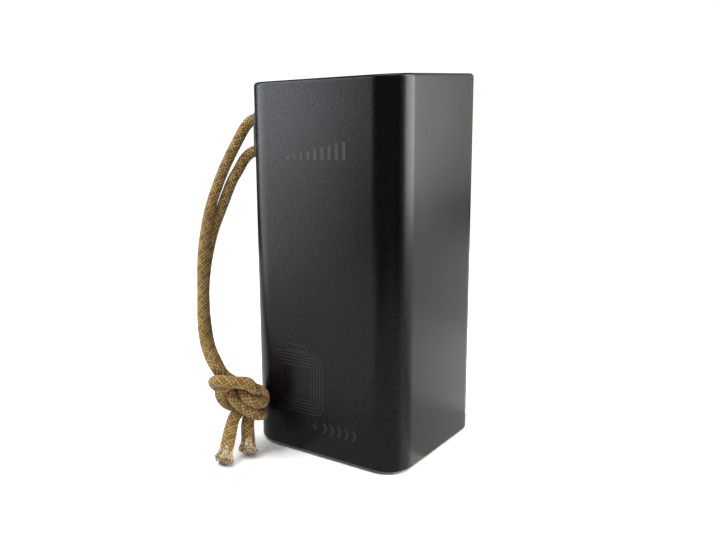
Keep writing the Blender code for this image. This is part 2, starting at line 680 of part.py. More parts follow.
def make_pads():
    """Thin insulating pads under the lower tier and over the upper tier."""
    outline = rounded_outline(PAD_HALF, PAD_HALF, PAD_CORNER, 3)
    bottom = COVER_BOTTOM + COVER_THICKNESS + GAP
    add_object("pad_bottom", prism(outline, bottom, bottom + PAD_THICKNESS), "pad")
    back = BOARD_FRONT - MM
    centre = (0.0, (back - PAD_HALF) / 2)
    outline = rounded_outline(TOP_PAD_HALF, (back + PAD_HALF) / 2, PAD_CORNER, 3, centre)
    bottom = UPPER_CELL_BOTTOM + CELL_LENGTH + BUS_THICKNESS + 2 * GAP
    add_object("pad_top", prism(outline, bottom, bottom + PAD_THICKNESS), "pad")


def make_leads():
    """The two insulated leads, each one a round tube."""
    spacing = 2 * LEAD_DIAMETER
    add_tube("lead_red", in_metres(RED_LEAD), LEAD_DIAMETER, "red_lead", spacing)
    add_tube("lead_black", in_metres(BLACK_LEAD), LEAD_DIAMETER, "black_lead", spacing)


def make_screw(name, place):
    """One screw, head down, with a cross-shaped recess in its head."""
    profile = (
        (SCREW_HEAD_RADIUS - SCREW_HEAD_CHAMFER, 0.0),
        (SCREW_HEAD_RADIUS, SCREW_HEAD_CHAMFER),
        (SCREW_HEAD_RADIUS, SCREW_HEAD_HEIGHT),
        (SCREW_SHANK_RADIUS, SCREW_HEAD_HEIGHT),
        (SCREW_SHANK_RADIUS, SCREW_LENGTH),
    )
    bottom = COVER_BOTTOM + SCREW_RECESS
    screw = add_object(name, turned(profile, ROUND_SIDES), "screw", location=(*place, bottom))
    for way, half_x, half_y in (("x", CROSS_HALF, CROSS_WIDTH / 2), ("y", CROSS_WIDTH / 2, CROSS_HALF)):
        low = (place[0] - half_x, place[1] - half_y, bottom - MM)
        high = (place[0] + half_x, place[1] + half_y, bottom + CROSS_DEPTH)
        cut(screw, add_cutter("cut_%s_%s" % (name, way), box(low, high)))


def make_bottom():
    """The bottom cover, its four screws and the rubber foot pad that hides them."""
    outline = rounded_outline(PLATE_HALF, PLATE_HALF, PLATE_CORNER, CORNER_STEPS)
    cover_top = COVER_BOTTOM + COVER_THICKNESS
    cover = add_object("bottom_cover", prism(outline, COVER_BOTTOM, cover_top), "cover")
    foot = rounded_outline(FOOT_HALF, FOOT_HALF, FOOT_CORNER, 6)
    small_half = FOOT_HALF - FOOT_CHAMFER
    small = rounded_outline(small_half, small_half, FOOT_CORNER - FOOT_CHAMFER, 6)
    foot_rings = [(small, 0.0), (foot, FOOT_CHAMFER), (foot, FOOT_THICKNESS)]
    add_object("foot_pad", loft(foot_rings), "foot")

    heads = bmesh.new()
    shanks = bmesh.new()
    head_top = COVER_BOTTOM + SCREW_RECESS + SCREW_HEAD_HEIGHT
    places = [(x, y) for x in (-SCREW_PLACE, SCREW_PLACE) for y in (-SCREW_PLACE, SCREW_PLACE)]
    for number, place in enumerate(places, start=1):
        head = circle_outline(SCREW_HEAD_RADIUS + GAP, ROUND_SIDES, place)
        prism(head, COVER_BOTTOM - MM, head_top + GAP, heads)
        shank = circle_outline(SCREW_SHANK_RADIUS + GAP, ROUND_SIDES, place)
        prism(shank, head_top, cover_top + MM, shanks)
        make_screw("bottom_screw_%d" % number, place)
    cut(cover, add_cutter("cut_cover_heads", heads), add_cutter("cut_cover_shanks", shanks))


def make_knot():
    """The doubled knot's outer shape, as one rounded lump."""
    bm = bmesh.new()
    bmesh.ops.create_uvsphere(bm, u_segments=KNOT_SEGMENTS, v_segments=KNOT_RINGS, radius=1.0)
    for vert in bm.verts:
        for axis in range(3):
            value = vert.co[axis]
            fuller = math.copysign(abs(value) ** KNOT_SQUARENESS, value)
            vert.co[axis] = fuller * KNOT_HALF[axis]
    knot = add_object("lanyard_knot", bm, "cord", location=KNOT_CENTRE)
    knot.rotation_euler = (0.0, 0.0, KNOT_TURN)


def make_lanyard():
    """The cord: a hidden loop behind the anchor, two strands, the knot and two tails."""
    add_tube("lanyard_loop", in_metres(LOOP), CORD_DIAMETER, "cord", LOOP_STEP)
    add_tube("lanyard_upper", in_metres(UPPER_STRAND), CORD_DIAMETER, "cord", CORD_STEP)
    add_tube("lanyard_lower", in_metres(LOWER_STRAND), CORD_DIAMETER, "cord", CORD_STEP)
    make_knot()
    add_tube("lanyard_tail_left", in_metres(LEFT_TAIL), CORD_DIAMETER, "cord", CORD_STEP)
    add_tube("lanyard_tail_right", in_metres(RIGHT_TAIL), CORD_DIAMETER, "cord", CORD_STEP)


def main():
    clear_scene()
    make_shell()
    make_anchor()
    make_top_panel()
    make_display()
    make_button()
    make_sockets()
    make_main_board()
    make_cells()
    make_holders()
    make_bus_plates()
    make_pads()
    make_leads()
    make_bottom()
    make_lanyard()


main()
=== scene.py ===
"""The looks of the power bank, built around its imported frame."""

import math
import random

import bmesh
import bpy
import numpy as np
from mathutils import Matrix, Vector


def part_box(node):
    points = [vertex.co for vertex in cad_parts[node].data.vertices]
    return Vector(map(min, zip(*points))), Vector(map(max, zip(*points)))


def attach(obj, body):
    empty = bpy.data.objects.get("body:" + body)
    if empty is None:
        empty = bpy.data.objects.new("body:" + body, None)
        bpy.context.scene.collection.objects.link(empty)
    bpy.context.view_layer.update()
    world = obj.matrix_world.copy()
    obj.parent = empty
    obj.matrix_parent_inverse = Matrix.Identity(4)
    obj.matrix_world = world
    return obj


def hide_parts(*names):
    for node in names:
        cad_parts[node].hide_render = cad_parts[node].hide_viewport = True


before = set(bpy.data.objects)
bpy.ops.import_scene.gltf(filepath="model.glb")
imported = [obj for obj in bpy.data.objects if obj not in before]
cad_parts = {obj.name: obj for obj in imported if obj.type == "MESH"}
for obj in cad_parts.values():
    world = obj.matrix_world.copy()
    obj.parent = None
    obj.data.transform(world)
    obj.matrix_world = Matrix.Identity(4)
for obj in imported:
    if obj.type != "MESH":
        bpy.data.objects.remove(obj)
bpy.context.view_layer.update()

MM = 0.001


def box_mm(node):
    """The low and high corners of a CAD node, in millimetres."""
    return [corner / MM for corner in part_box(node)]


# -------- camera

CAMERA_PLACE = (173.32 * MM, -294.05 * MM, 142.59 * MM)
CAMERA_YAW = math.radians(41.942)
CAMERA_PITCH = math.radians(11.348)
CAMERA_ROLL = math.radians(-2.407)
CAMERA_LENS = 40.25
CAMERA_SHIFT = 0.2158


def camera_axes():
    """The camera's right, up and forward directions."""
    forward = Vector((
        -math.sin(CAMERA_YAW) * math.cos(CAMERA_PITCH),
        math.cos(CAMERA_YAW) * math.cos(CAMERA_PITCH),
        -math.sin(CAMERA_PITCH),
    ))
    level = Vector((math.cos(CAMERA_YAW), math.sin(CAMERA_YAW), 0.0))
    upright = level.cross(forward)
    right = level * math.cos(CAMERA_ROLL) + upright * math.sin(CAMERA_ROLL)
    up = upright * math.cos(CAMERA_ROLL) - level * math.sin(CAMERA_ROLL)
    return right, up, forward


def make_camera():
    """The camera, in front and to the right, near the height of the top."""
    right, up, forward = camera_axes()
    data = bpy.data.cameras.new("camera")
    data.sensor_width = 36.0
    data.lens = CAMERA_LENS
    data.shift_x = CAMERA_SHIFT
    data.clip_start = 0.01
    data.clip_end = 20.0
    camera = bpy.data.objects.new("camera", data)
    turn = Matrix((right, up, -forward)).transposed().to_4x4()
    camera.matrix_world = Matrix.Translation(CAMERA_PLACE) @ turn
    bpy.context.scene.collection.objects.link(camera)
    bpy.context.scene.camera = camera


make_camera()

# -------- cords

# The strands' routes, in millimetres, from the anchor's holes down to the knot
UPPER_STRAND = (
    (-36.9, -21.5, 137.5), (-39.0, -21.5, 137.4), (-42.3, -21.7, 136.1), (-44.9, -22.6, 133.0),
    (-46.8, -24.4, 128.5), (-49.2, -26.4, 123.0), (-52.5, -29.0, 114.5), (-55.6, -33.0, 102.0),
    (-57.2, -35.8, 90.0), (-57.0, -38.8, 77.6), (-55.2, -41.7, 64.5), (-52.6, -45.2, 51.8),
    (-48.8, -48.0, 43.4), (-44.3, -49.8, 38.0), (-41.4, -50.5, 35.4),
)
LOWER_STRAND = (
    (-36.9, -21.5, 124.3), (-39.0, -21.5, 124.1), (-42.3, -21.9, 122.9), (-44.9, -23.0, 120.2),
    (-46.6, -24.8, 116.2), (-49.2, -26.5, 111.1), (-52.9, -28.3, 101.7), (-57.2, -30.8, 89.5),
    (-59.2, -33.1, 77.6), (-59.4, -35.3, 67.7), (-57.7, -37.9, 58.1), (-54.4, -40.9, 49.4),
    (-50.2, -43.8, 41.8), (-46.5, -45.2, 37.2), (-44.9, -45.8, 35.8),
)

# The case's half width and corner radius, and the least distance from it to a cord's middle
CASE_LOW, CASE_HIGH = box_mm("shell")
CASE_HALF = CASE_HIGH.x
CASE_CORNER = 11.5
CASE_CLEAR = 2.75

# How the knot settles, in millimetres and in shares of each correction made in one round
LINE_SPACING = 1.0
FREE_BELOW = 60.0
FIXED_END = 6
CORDS_APART = 4.42
TIGHTEST_BEND = 4.2
SETTLE_ROUNDS = 350
PUSHES = 2
SMOOTHING = 0.2
OPENING = 0.9
EVENING = 0.36
HOLDING = 0.02
PUSHING = 0.7
CROWDING = 0.6

# The knot's own axes: across the view, up it and towards it, from the knot's middle
KNOT_MIDDLE = Vector((-31.2, -47.2, 24.2))
KNOT_ACROSS, KNOT_UP, KNOT_AWAY = camera_axes()

# The knot and tail of each strand in those axes, in millimetres
UPPER_KNOT = (
    (-6.6, 5.6, -1.4), (-4.2, 1.8, 1.0), (-0.6, -3.0, 3.2), (3.8, -6.4, 3.2),
    (7.6, -7.9, 0.8), (8.6, -6.6, -2.8), (5.6, -5.4, -5.8), (0.4, -5.6, -5.8),
    (-4.2, -4.9, -4.4), (-7.2, -2.6, -2.4), (-8.3, 0.6, -1.0), (-7.4, 3.8, 0.0),
    (-3.6, 5.6, 1.6), (1.0, 5.2, 1.8), (4.6, 3.0, 0.8), (6.9, 0.2, -1.4),
    (7.4, -3.2, -2.8), (5.6, -6.0, -2.4), (3.7, -9.0, -1.6), (3.0, -13.1, -0.6),
    (3.1, -17.6, 1.0), (3.0, -21.5, 2.4),
)
LOWER_KNOT = (
    (-6.0, 6.4, -6.0), (-2.0, 2.6, -2.6), (2.6, -0.6, 1.8), (7.2, -2.2, 2.6),
    (10.2, -2.2, 0.4), (9.8, -0.8, -3.0), (6.0, 0.8, -6.2), (-0.4, 1.8, -7.8),
    (-6.0, 2.6, -5.8), (-9.8, 3.6, -1.8), (-10.4, 5.0, 2.2), (-7.2, 6.2, 5.4),
    (-2.4, 6.2, 6.6), (2.2, 5.4, 6.0), (5.4, 2.8, 3.4), (5.6, -0.8, -0.6),
    (2.8, -4.2, -2.2), (-0.6, -6.7, -1.0), (-2.7, -9.4, 1.2), (-4.3, -14.0, 3.6),
    (-5.9, -19.9, 7.4), (-7.1, -24.0, 9.6),
)


def from_knot(points):
    """Points in the knot's axes as points in the frame, in millimetres."""
    placed = []
    for across, up, towards in points:
        placed.append(tuple(KNOT_MIDDLE + across * KNOT_ACROSS + up * KNOT_UP - towards * KNOT_AWAY))
    return placed


def smooth_line(points, spacing):
    """Evenly spaced points on a smooth curve through the given points."""
    route = np.array(points, dtype=float)
    route = np.vstack([2 * route[0] - route[1], route, 2 * route[-1] - route[-2]])
    fine = []
    for i in range(1, len(route) - 2):
        before, start, end, after = route[i - 1:i + 3]
        for t in np.linspace(0.0, 1.0, 24, endpoint=False):
            value = 2 * start + (end - before) * t
            value = value + (2 * before - 5 * start + 4 * end - after) * t ** 2
            value = value + (3 * start - before - 3 * end + after) * t ** 3
            fine.append(value / 2)
    fine.append(route[-2])
    return even_line(np.array(fine), spacing)


def even_line(line, spacing):
    """A polyline with its points spread evenly."""
    steps = np.linalg.norm(np.diff(line, axis=0), axis=1)
    along = np.concatenate([[0.0], np.cumsum(steps)])
    count = max(3, int(round(along[-1] / spacing)) + 1)
    wanted = np.linspace(0.0, along[-1], count)
    return np.stack([np.interp(wanted, along, line[:, k]) for k in range(3)], axis=1)


def off_case(points):
    """How far each point is from the case's sides, and the level way out from them."""
    past = np.maximum(np.abs(points[:, :2]) - (CASE_HALF - CASE_CORNER), 0.0)
    reach = np.linalg.norm(past, axis=1)
    outward = past / np.maximum(reach, 1e-9)[:, None] * np.sign(points[:, :2])
    return reach - CASE_CORNER, outward


def settle_cords(lines, first_free):
    """Push the cords apart and off the case, and keep their bends smooth.

    The points before first_free and the last few of each cord stay where they are, and only the others move.
    """
    counts = [len(line) for line in lines]
    points = np.vstack(lines)
    target = points.copy()
    cord = np.repeat(np.arange(len(lines)), counts)
    place = np.concatenate([np.arange(count) for count in counts])
    total = len(points)
    neighbours = int(2.0 * CORDS_APART / LINE_SPACING) + 1
    separate = (cord[:, None] != cord[None]) | (abs(place[:, None] - place[None]) >= neighbours)
    separate &= np.triu(np.ones((total, total), dtype=bool), 1)
    free = np.zeros(total, dtype=bool)
    for number, count in enumerate(counts):
        free |= (cord == number) & (place >= first_free[number]) & (place < count - FIXED_END)
    inner = np.where((place > 0) & (place < np.array(counts)[cord] - 1))[0]
    limit = LINE_SPACING * LINE_SPACING / (2 * TIGHTEST_BEND)
    for turn in range(SETTLE_ROUNDS):
        bend = np.zeros_like(points)
        bend[inner] = (points[inner - 1] + points[inner + 1]) / 2 - points[inner]
        change = np.zeros_like(points)
        low = np.maximum(inner - 1, 0)
        high = np.minimum(inner + 1, total - 1)
        change[inner] = bend[inner] - (bend[low] + bend[high]) / 2
        points[free] += SMOOTHING * change[free]
        size = np.linalg.norm(bend, axis=1)
        excess = np.where(size > limit, (size - limit) / np.maximum(size, 1e-9), 0.0)
        points[free] += OPENING * (bend * excess[:, None])[free]
        for number in range(len(lines)):
            here = np.where(cord == number)[0]
            step = points[here[1:]] - points[here[:-1]]
            length = np.linalg.norm(step, axis=1, keepdims=True)
            fix = step / length * (length - length.mean()) * EVENING
            move = np.zeros_like(points[here])
            move[:-1] += fix
            move[1:] -= fix
            moving = free[here]
            points[here[moving]] += move[moving]
        hold = HOLDING * (1 - turn / SETTLE_ROUNDS)
        points[free] += hold * (target - points)[free]
        for _ in range(PUSHES):
            apart_now = np.linalg.norm(points[:, None] - points[None], axis=2)
            first, second = np.where(separate & (apart_now < CORDS_APART))
            if len(first) == 0:
                continue
            distance = apart_now[first, second][:, None]
            push = (points[first] - points[second]) / distance * (CORDS_APART - distance) / 2
            move = np.zeros_like(points)
            times = np.zeros(total)
            np.add.at(move, first, push)
            np.add.at(move, second, -push)
            np.add.at(times, first, 1)
            np.add.at(times, second, 1)
            move /= np.maximum(times, 1)[:, None] ** CROWDING
            points[free] += PUSHING * move[free]
        gap, outward = off_case(points)
        short = np.where(free, np.maximum(CASE_CLEAR - gap, 0.0), 0.0)
        points[:, :2] += outward * short[:, None]
    settled = []
    start = 0
    for count in counts:
        settled.append(points[start:start + count])
        start += count
    return settled


def lanyard_lines():
    """The two strands' centre lines, knot and tails included, in millimetres."""
    upper = smooth_line(list(UPPER_STRAND) + from_knot(UPPER_KNOT), LINE_SPACING)
    lower = smooth_line(list(LOWER_STRAND) + from_knot(LOWER_KNOT), LINE_SPACING)
    first = [int(np.argmin(abs(line[:, 2] - FREE_BELOW))) for line in (upper, lower)]
    return settle_cords([upper, lower], first)


upper_line, lower_line = lanyard_lines()

# -------- mesh helpers


def shown(name, mesh):
    """A mesh as an object in the scene."""
    obj = bpy.data.objects.new(name, mesh)
    bpy.context.scene.collection.objects.link(obj)
    return obj


def new_object(name, verts, faces):
    """A smooth-shaded object from plain lists."""
    mesh = bpy.data.meshes.new(name)
    mesh.from_pydata([tuple(v) for v in verts], [], faces)
    mesh.update()
    mesh.shade_smooth()
    return shown(name, mesh)


def band(low, high, count):
    """The four-sided faces between two rings of points."""
    return [(low + k, low + (k + 1) % count, high + (k + 1) % count, high + k) for k in range(count)]


def carried_axes(line):
    """Directions along a line, and two directions across it that turn with it without twist."""
    along = np.gradient(line, axis=0)
    along /= np.linalg.norm(along, axis=1, keepdims=True)
    side = np.cross(along[0], [0.0, 0.0, 1.0])
    if np.linalg.norm(side) < 0.1:
        side = np.cross(along[0], [0.0, 1.0, 0.0])
    side /= np.linalg.norm(side)
    sides = [side]
    for direction in along[1:]:
        side = sides[-1] - direction * np.dot(sides[-1], direction)
        sides.append(side / np.linalg.norm(side))
    sides = np.array(sides)
    return along, sides, np.cross(along, sides)


# -------- materials


# The Mix node's sockets share their names between its types, so these are the colour type's places
MIX_FACTOR = 0
MIX_UNDER = 6
MIX_OVER = 7
MIX_RESULT = 2


def tint(colour, strength):
    """A colour made stronger or weaker."""
    return [strength * value for value in colour]


class Look:
    """A procedural material on one Principled shader, patterned in the frame's own coordinates."""

    def __init__(self, name, colour, roughness, metallic=0.0, specular=0.5):
        self.material = bpy.data.materials.new(name)
        self.material.use_nodes = True
        self.tree = self.material.node_tree
        self.shader = self.tree.nodes["Principled BSDF"]
        self.shader.inputs["Base Color"].default_value = (*colour, 1.0)
        self.shader.inputs["Roughness"].default_value = roughness
        self.shader.inputs["Metallic"].default_value = metallic
        self.shader.inputs["Specular IOR Level"].default_value = specular
        self.colour = None
        self.normal = None

    def feed(self, socket, value):
        """Link another node's output to an input, or set it to a plain value."""
        if isinstance(value, bpy.types.NodeSocket):
            self.tree.links.new(value, socket)
        else:
            socket.default_value = value

    def node(self, kind, **inputs):
        """A shader node with its named inputs set or linked."""
        made = self.tree.nodes.new("ShaderNode" + kind)
        for name, value in inputs.items():
            self.feed(made.inputs[name.replace("_", " ")], value)
        return made

    def sums(self, operation, first, second=0.0):
        """One arithmetic step."""
        made = self.tree.nodes.new("ShaderNodeMath")
        made.operation = operation
        self.feed(made.inputs[0], first)
        self.feed(made.inputs[1], second)
        return made.outputs[0]

    def place(self, stretch=(1.0, 1.0, 1.0)):
        """A point's place in millimetres, squeezed along each axis."""
        coordinates = self.tree.nodes.new("ShaderNodeTexCoord").outputs["Object"]
        mapping = self.node("Mapping", Vector=coordinates)
        mapping.inputs["Scale"].default_value = [factor / MM for factor in stretch]
        return mapping.outputs[0]

    def noise(self, size_mm, detail=2.0, stretch=(1.0, 1.0, 1.0)):
        """Soft mottling of a given size, 0 to 1."""
        place = self.place(stretch)
        return self.node("TexNoise", Vector=place, Scale=1.0 / size_mm, Detail=detail).outputs["Fac"]

    def cells(self, size_mm):
        """Rounded pebbles of a given size, 0 at each middle."""
        return self.node("TexVoronoi", Vector=self.place(), Scale=1.0 / size_mm).outputs["Distance"]

    def spread(self, value, low, high, start=0.3, end=0.7):
        """A pattern's middle range stretched from low to high."""
        made = self.node("MapRange", Value=value)
        for name, number in (("From Min", start), ("From Max", end), ("To Min", low), ("To Max", high)):
            made.inputs[name].default_value = number
        return made.outputs[0]

    def paint(self, factor, colour):
        """Lay a second colour over what is there, where the factor says."""
        mix = self.tree.nodes.new("ShaderNodeMix")
        mix.data_type = "RGBA"
        if self.colour is None:
            mix.inputs[MIX_UNDER].default_value = self.shader.inputs["Base Color"].default_value
        else:
            self.tree.links.new(self.colour, mix.inputs[MIX_UNDER])
        mix.inputs[MIX_OVER].default_value = (*colour, 1.0)
        self.tree.links.new(factor, mix.inputs[MIX_FACTOR])
        self.colour = mix.outputs[MIX_RESULT]
        self.tree.links.new(self.colour, self.shader.inputs["Base Color"])

    def shine(self, roughness):
        """Roughness from a pattern."""
        self.tree.links.new(roughness, self.shader.inputs["Roughness"])

    def relief(self, height, depth_mm):
        """Fine relief of a given depth, over any that is there."""
        bump = self.node("Bump", Height=height, Distance=depth_mm * MM, Strength=1.0)
        if self.normal is not None:
            self.tree.links.new(self.normal, bump.inputs["Normal"])
        self.normal = bump.outputs[0]
        self.tree.links.new(self.normal, self.shader.inputs["Normal"])


def satin_metal(name, colour, roughness, grain=0.3):
    """Dark blasted and coated aluminium: a fine sparkling grain, and faint handling marks."""
    look = Look(name, colour, roughness, metallic=1.0)
    look.paint(look.spread(look.noise(1.0, 3.0), 0.0, grain), tint(colour, 1.9))
    look.paint(look.spread(look.noise(1.4, 2.0), 0.0, grain), tint(colour, 0.4))
    marks = look.noise(26.0, 4.0, (1.0, 1.0, 0.5))
    look.shine(look.spread(marks, roughness - 0.025, roughness + 0.035))
    look.relief(look.noise(0.8, 3.0), 0.03)
    return look.material


def moulded(name, colour, roughness, pebble_mm=0.6, depth_mm=0.012):
    """Moulded plastic with a spark-eroded pebble finish."""
    look = Look(name, colour, roughness)
    look.paint(look.spread(look.noise(4.0, 4.0), 0.0, 0.5), tint(colour, 0.7))
    look.shine(look.spread(look.noise(9.0, 3.0), roughness - 0.06, roughness + 0.08))
    look.relief(look.cells(pebble_mm), depth_mm)
    return look.material


def bright_metal(name, colour, roughness, stretch=(1.0, 1.0, 12.0)):
    """Sheet metal with fine rolling lines and a little tarnish."""
    look = Look(name, colour, roughness, metallic=1.0)
    look.paint(look.spread(look.noise(5.0, 4.0), 0.0, 0.35), tint(colour, 0.55))
    lines = look.noise(0.5, 3.0, stretch)
    look.shine(look.spread(lines, roughness - 0.08, roughness + 0.12))
    look.relief(lines, 0.004)
    return look.material


def braid_look(name, yarn, dark_yarn_and_gap_shade, tracer):
    """A braided sleeve: yarns cross left over right, with darker tracers, painted shade in the gaps between
    yarns, and stray fibres.
    """
    look = Look(name, yarn, 0.85, specular=0.15)
    separate = look.node("SeparateXYZ", Vector=look.node("UVMap").outputs[0])
    around, along = separate.outputs[0], separate.outputs[1]
    heights = []
    strands = []
    for operation in ("ADD", "SUBTRACT"):
        lattice = look.sums("MULTIPLY", look.sums(operation, around, along), float(CARRIERS))
        strands.append(look.sums("FLOORED_MODULO", look.sums("FLOOR", lattice), 4.0))
        heights.append(look.sums("SINE", look.sums("MULTIPLY", lattice, math.pi)))
    crossing = look.sums("MULTIPLY", heights[0], heights[1])
    lifts = []
    for height, share in zip(heights, (LIFT, -LIFT)):
        raised = look.sums("ADD", look.sums("MULTIPLY", crossing, share), 1.0 - LIFT)
        crown = look.sums("POWER", look.sums("ABSOLUTE", height), CROWN)
        lifts.append(look.sums("MULTIPLY", crown, raised))
    relief = look.sums("MAXIMUM", *lifts)
    left_on_top = look.sums("GREATER_THAN", lifts[0], lifts[1])
    fibres = look.noise(0.16, 3.0)
    # The darker yarn colour, laid in random blotches; a near-black tint of it is the painted gap shade
    # below.
    look.paint(look.spread(look.noise(3.5, 3.0), 0.0, 0.75), dark_yarn_and_gap_shade)
    left_tracer = look.sums("MULTIPLY", look.sums("COMPARE", strands[0], 1.0), left_on_top)
    right_on_top = look.sums("SUBTRACT", 1.0, left_on_top)
    right_tracer = look.sums("MULTIPLY", look.sums("COMPARE", strands[1], 3.0), right_on_top)
    traced = look.sums("MULTIPLY", look.sums("ADD", left_tracer, right_tracer), 0.9)
    look.paint(look.sums("MULTIPLY", traced, look.spread(fibres, 0.6, 1.0)), tracer)
    # Painted shade: where the yarn relief is low, in the gaps between yarns, the colour is painted nearly
    # black.
    look.paint(look.spread(relief, 0.95, 0.0, 0.36, 0.62), tint(dark_yarn_and_gap_shade, 0.16))
    look.paint(look.spread(fibres, 0.0, 0.35, 0.55, 0.75), tint(yarn, 1.5))
    look.relief(relief, 0.25)
    look.relief(fibres, 0.06)
    look.shader.inputs["Sheen Weight"].default_value = 0.1
    look.shader.inputs["Sheen Roughness"].default_value = 0.5
    return look.material


def fray_look(name, pale, dark):
    """Cut yarn ends: pale core fibres among darker sleeve fibres."""
    look = Look(name, pale, 0.9, specular=0.1)
    look.paint(look.spread(look.noise(1.1, 3.0), 0.0, 1.0, 0.42, 0.62), dark)
    look.relief(look.noise(0.12, 3.0), 0.03)
    return look.material


def board_look(name):
    """Green solder mask over copper tracks, with tinned pads."""
    look = Look(name, (0.01, 0.085, 0.035), 0.35)
    tracks = look.node("TexBrick", Vector=look.place((0.35, 1.0, 0.35)), Scale=0.5, Mortar_Size=0.03)
    look.paint(tracks.outputs["Fac"], (0.02, 0.16, 0.06))
    look.paint(look.sums("LESS_THAN", look.cells(3.2), 0.16), (0.5, 0.47, 0.4))
    look.relief(tracks.outputs["Fac"], 0.02)
    return look.material


def cell_look(name):
    """A cell's shrink sleeve: glossy blue film with fine lengthwise strain and a matt band."""
    look = Look(name, (0.02, 0.15, 0.34), 0.22)
    look.paint(look.spread(look.noise(6.0, 3.0, (1.0, 1.0, 0.2)), 0.0, 0.4), (0.01, 0.08, 0.2))
    look.shine(look.spread(look.noise(2.0, 3.0, (1.0, 1.0, 0.1)), 0.16, 0.34))
    look.relief(look.noise(1.5, 3.0, (1.0, 1.0, 0.08)), 0.02)
    return look.material


def wound_look(name):
    """Pressed ferrite: matt grey with pale specks."""
    look = Look(name, (0.05, 0.05, 0.053), 0.75)
    look.paint(look.spread(look.noise(0.5, 4.0), 0.0, 0.6, 0.5, 0.8), (0.13, 0.13, 0.135))
    look.relief(look.noise(0.3, 3.0), 0.02)
    return look.material


def card_look(name):
    """Insulating fibre card: pale, dull, with long fibres."""
    look = Look(name, (0.5, 0.46, 0.36), 0.9)
    look.paint(look.spread(look.noise(0.8, 4.0, (1.0, 0.2, 1.0)), 0.0, 0.6), (0.38, 0.34, 0.26))
    look.relief(look.noise(0.4, 3.0, (1.0, 0.3, 1.0)), 0.02)
    return look.material


def glass_look(name):
    """Smoked display glass: nearly black, polished, with faint wiping marks."""
    look = Look(name, (0.006, 0.006, 0.008), 0.06)
    look.paint(look.spread(look.noise(12.0, 4.0), 0.0, 0.5), (0.01, 0.01, 0.012))
    look.shine(look.spread(look.noise(7.0, 5.0, (1.0, 2.5, 1.0)), 0.04, 0.12))
    look.relief(look.noise(5.0, 2.0), 0.002)
    return look.material


def lit_look(name, colour, strength):
    """A lit indicator behind a diffuser."""
    look = Look(name, colour, 0.4)
    look.paint(look.spread(look.noise(0.8, 2.0), 0.0, 0.3), tint(colour, 0.8))
    look.shader.inputs["Emission Color"].default_value = (*colour, 1.0)
    look.shader.inputs["Emission Strength"].default_value = strength
    return look.material


# The braid: how many yarns run each way, how far they lift at a crossing, and how round they are
CARRIERS = 8
LIFT = 0.38
CROWN = 0.6

SHELL_COLOUR = (0.0215, 0.0218, 0.0224)
MARK_COLOUR = (0.042, 0.041, 0.038)

looks = {
    "shell": satin_metal("sleeve_satin", SHELL_COLOUR, 0.3),
    "mark": satin_metal("mark_etched", MARK_COLOUR, 0.42, 0.15),
    "anchor": moulded("anchor_moulded", (0.014, 0.013, 0.014), 0.6, 0.4, 0.006),
    "button": satin_metal("button_satin", (0.09, 0.09, 0.094), 0.3, 0.25),
    "panel": moulded("panel_moulded", (0.012, 0.012, 0.013), 0.42, 0.35, 0.008),
    "cover": moulded("cover_moulded", (0.022, 0.022, 0.024), 0.5),
    "holder": moulded("holder_moulded", (0.055, 0.055, 0.057), 0.55),
    "chip": moulded("chip_moulded", (0.02, 0.02, 0.021), 0.45, 0.2, 0.006),
    "foot": moulded("foot_rubber", (0.03, 0.03, 0.03), 0.85, 0.9, 0.03),
    "plunger": moulded("plunger_moulded", (0.04, 0.04, 0.04), 0.5, 0.3, 0.005),
    "tongue": moulded("tongue_moulded", (0.62, 0.62, 0.6), 0.45, 0.3, 0.004),
    "red_lead": moulded("lead_red_silicone", (0.5, 0.015, 0.015), 0.5, 0.3, 0.004),
    "black_lead": moulded("lead_black_silicone", (0.015, 0.015, 0.015), 0.5, 0.3, 0.004),
    "socket_steel": bright_metal("socket_steel", (0.56, 0.56, 0.57), 0.3),
    "contact": bright_metal("contact_gold", (0.85, 0.58, 0.22), 0.28),
    "nickel": bright_metal("nickel_sheet", (0.62, 0.58, 0.5), 0.32, (12.0, 1.0, 1.0)),
    "screw": bright_metal("screw_plated", (0.3, 0.3, 0.31), 0.34, (1.0, 1.0, 1.0)),
    "capacitor": bright_metal("capacitor_can", (0.6, 0.6, 0.61), 0.3, (6.0, 6.0, 1.0)),
    "board": board_look("board_mask"),
    "ferrite": wound_look("ferrite_core"),
    "cell": cell_look("cell_sleeve"),
    "pad": card_look("pad_card"),
    "window": glass_look("window_glass"),
    "lit": lit_look("indicator_lit", (0.75, 0.88, 1.0), 1.6),
    "cord": braid_look("cord_braid", (0.34, 0.226, 0.078), (0.175, 0.112, 0.036), (0.16, 0.066, 0.014)),
    "fray": fray_look("cord_fray", (0.6, 0.48, 0.32), (0.13, 0.07, 0.028)),
}


def dress(obj, look):
    """Give a piece its material."""
    obj.data.materials.clear()
    obj.data.materials.append(looks[look])


def fit(obj, look, body="case", replaced=()):
    """A finished piece: its material, the body that it rides on and the nodes it stands for."""
    dress(obj, look)
    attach(obj, body)
    if replaced:
        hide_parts(*replaced)
    return obj


# -------- cord pieces

CORD_SIDES = 56
CORD_STEP = 0.28
BRAID_PITCH = 13.0
BRAID_RELIEF = 0.16
CORD_RADIUS = 2.4
KNOT_SWELL = 0.1
KNOT_TOP = 46.0
TAIL_SWELL = 0.35
TAIL_TOP = 18.0
SWELL_LENGTH = 8.0


def braid_relief(around, along):
    """Height of the braid's crossing yarns, 0 to 1, at a place in turns round and pitches along."""
    left = np.sin(math.pi * CARRIERS * (around + along))
    right = np.sin(math.pi * CARRIERS * (around - along))
    over = np.abs(left) ** CROWN * (1.0 - LIFT + LIFT * left * right)
    under = np.abs(right) ** CROWN * (1.0 - LIFT - LIFT * left * right)
    return np.maximum(over, under)


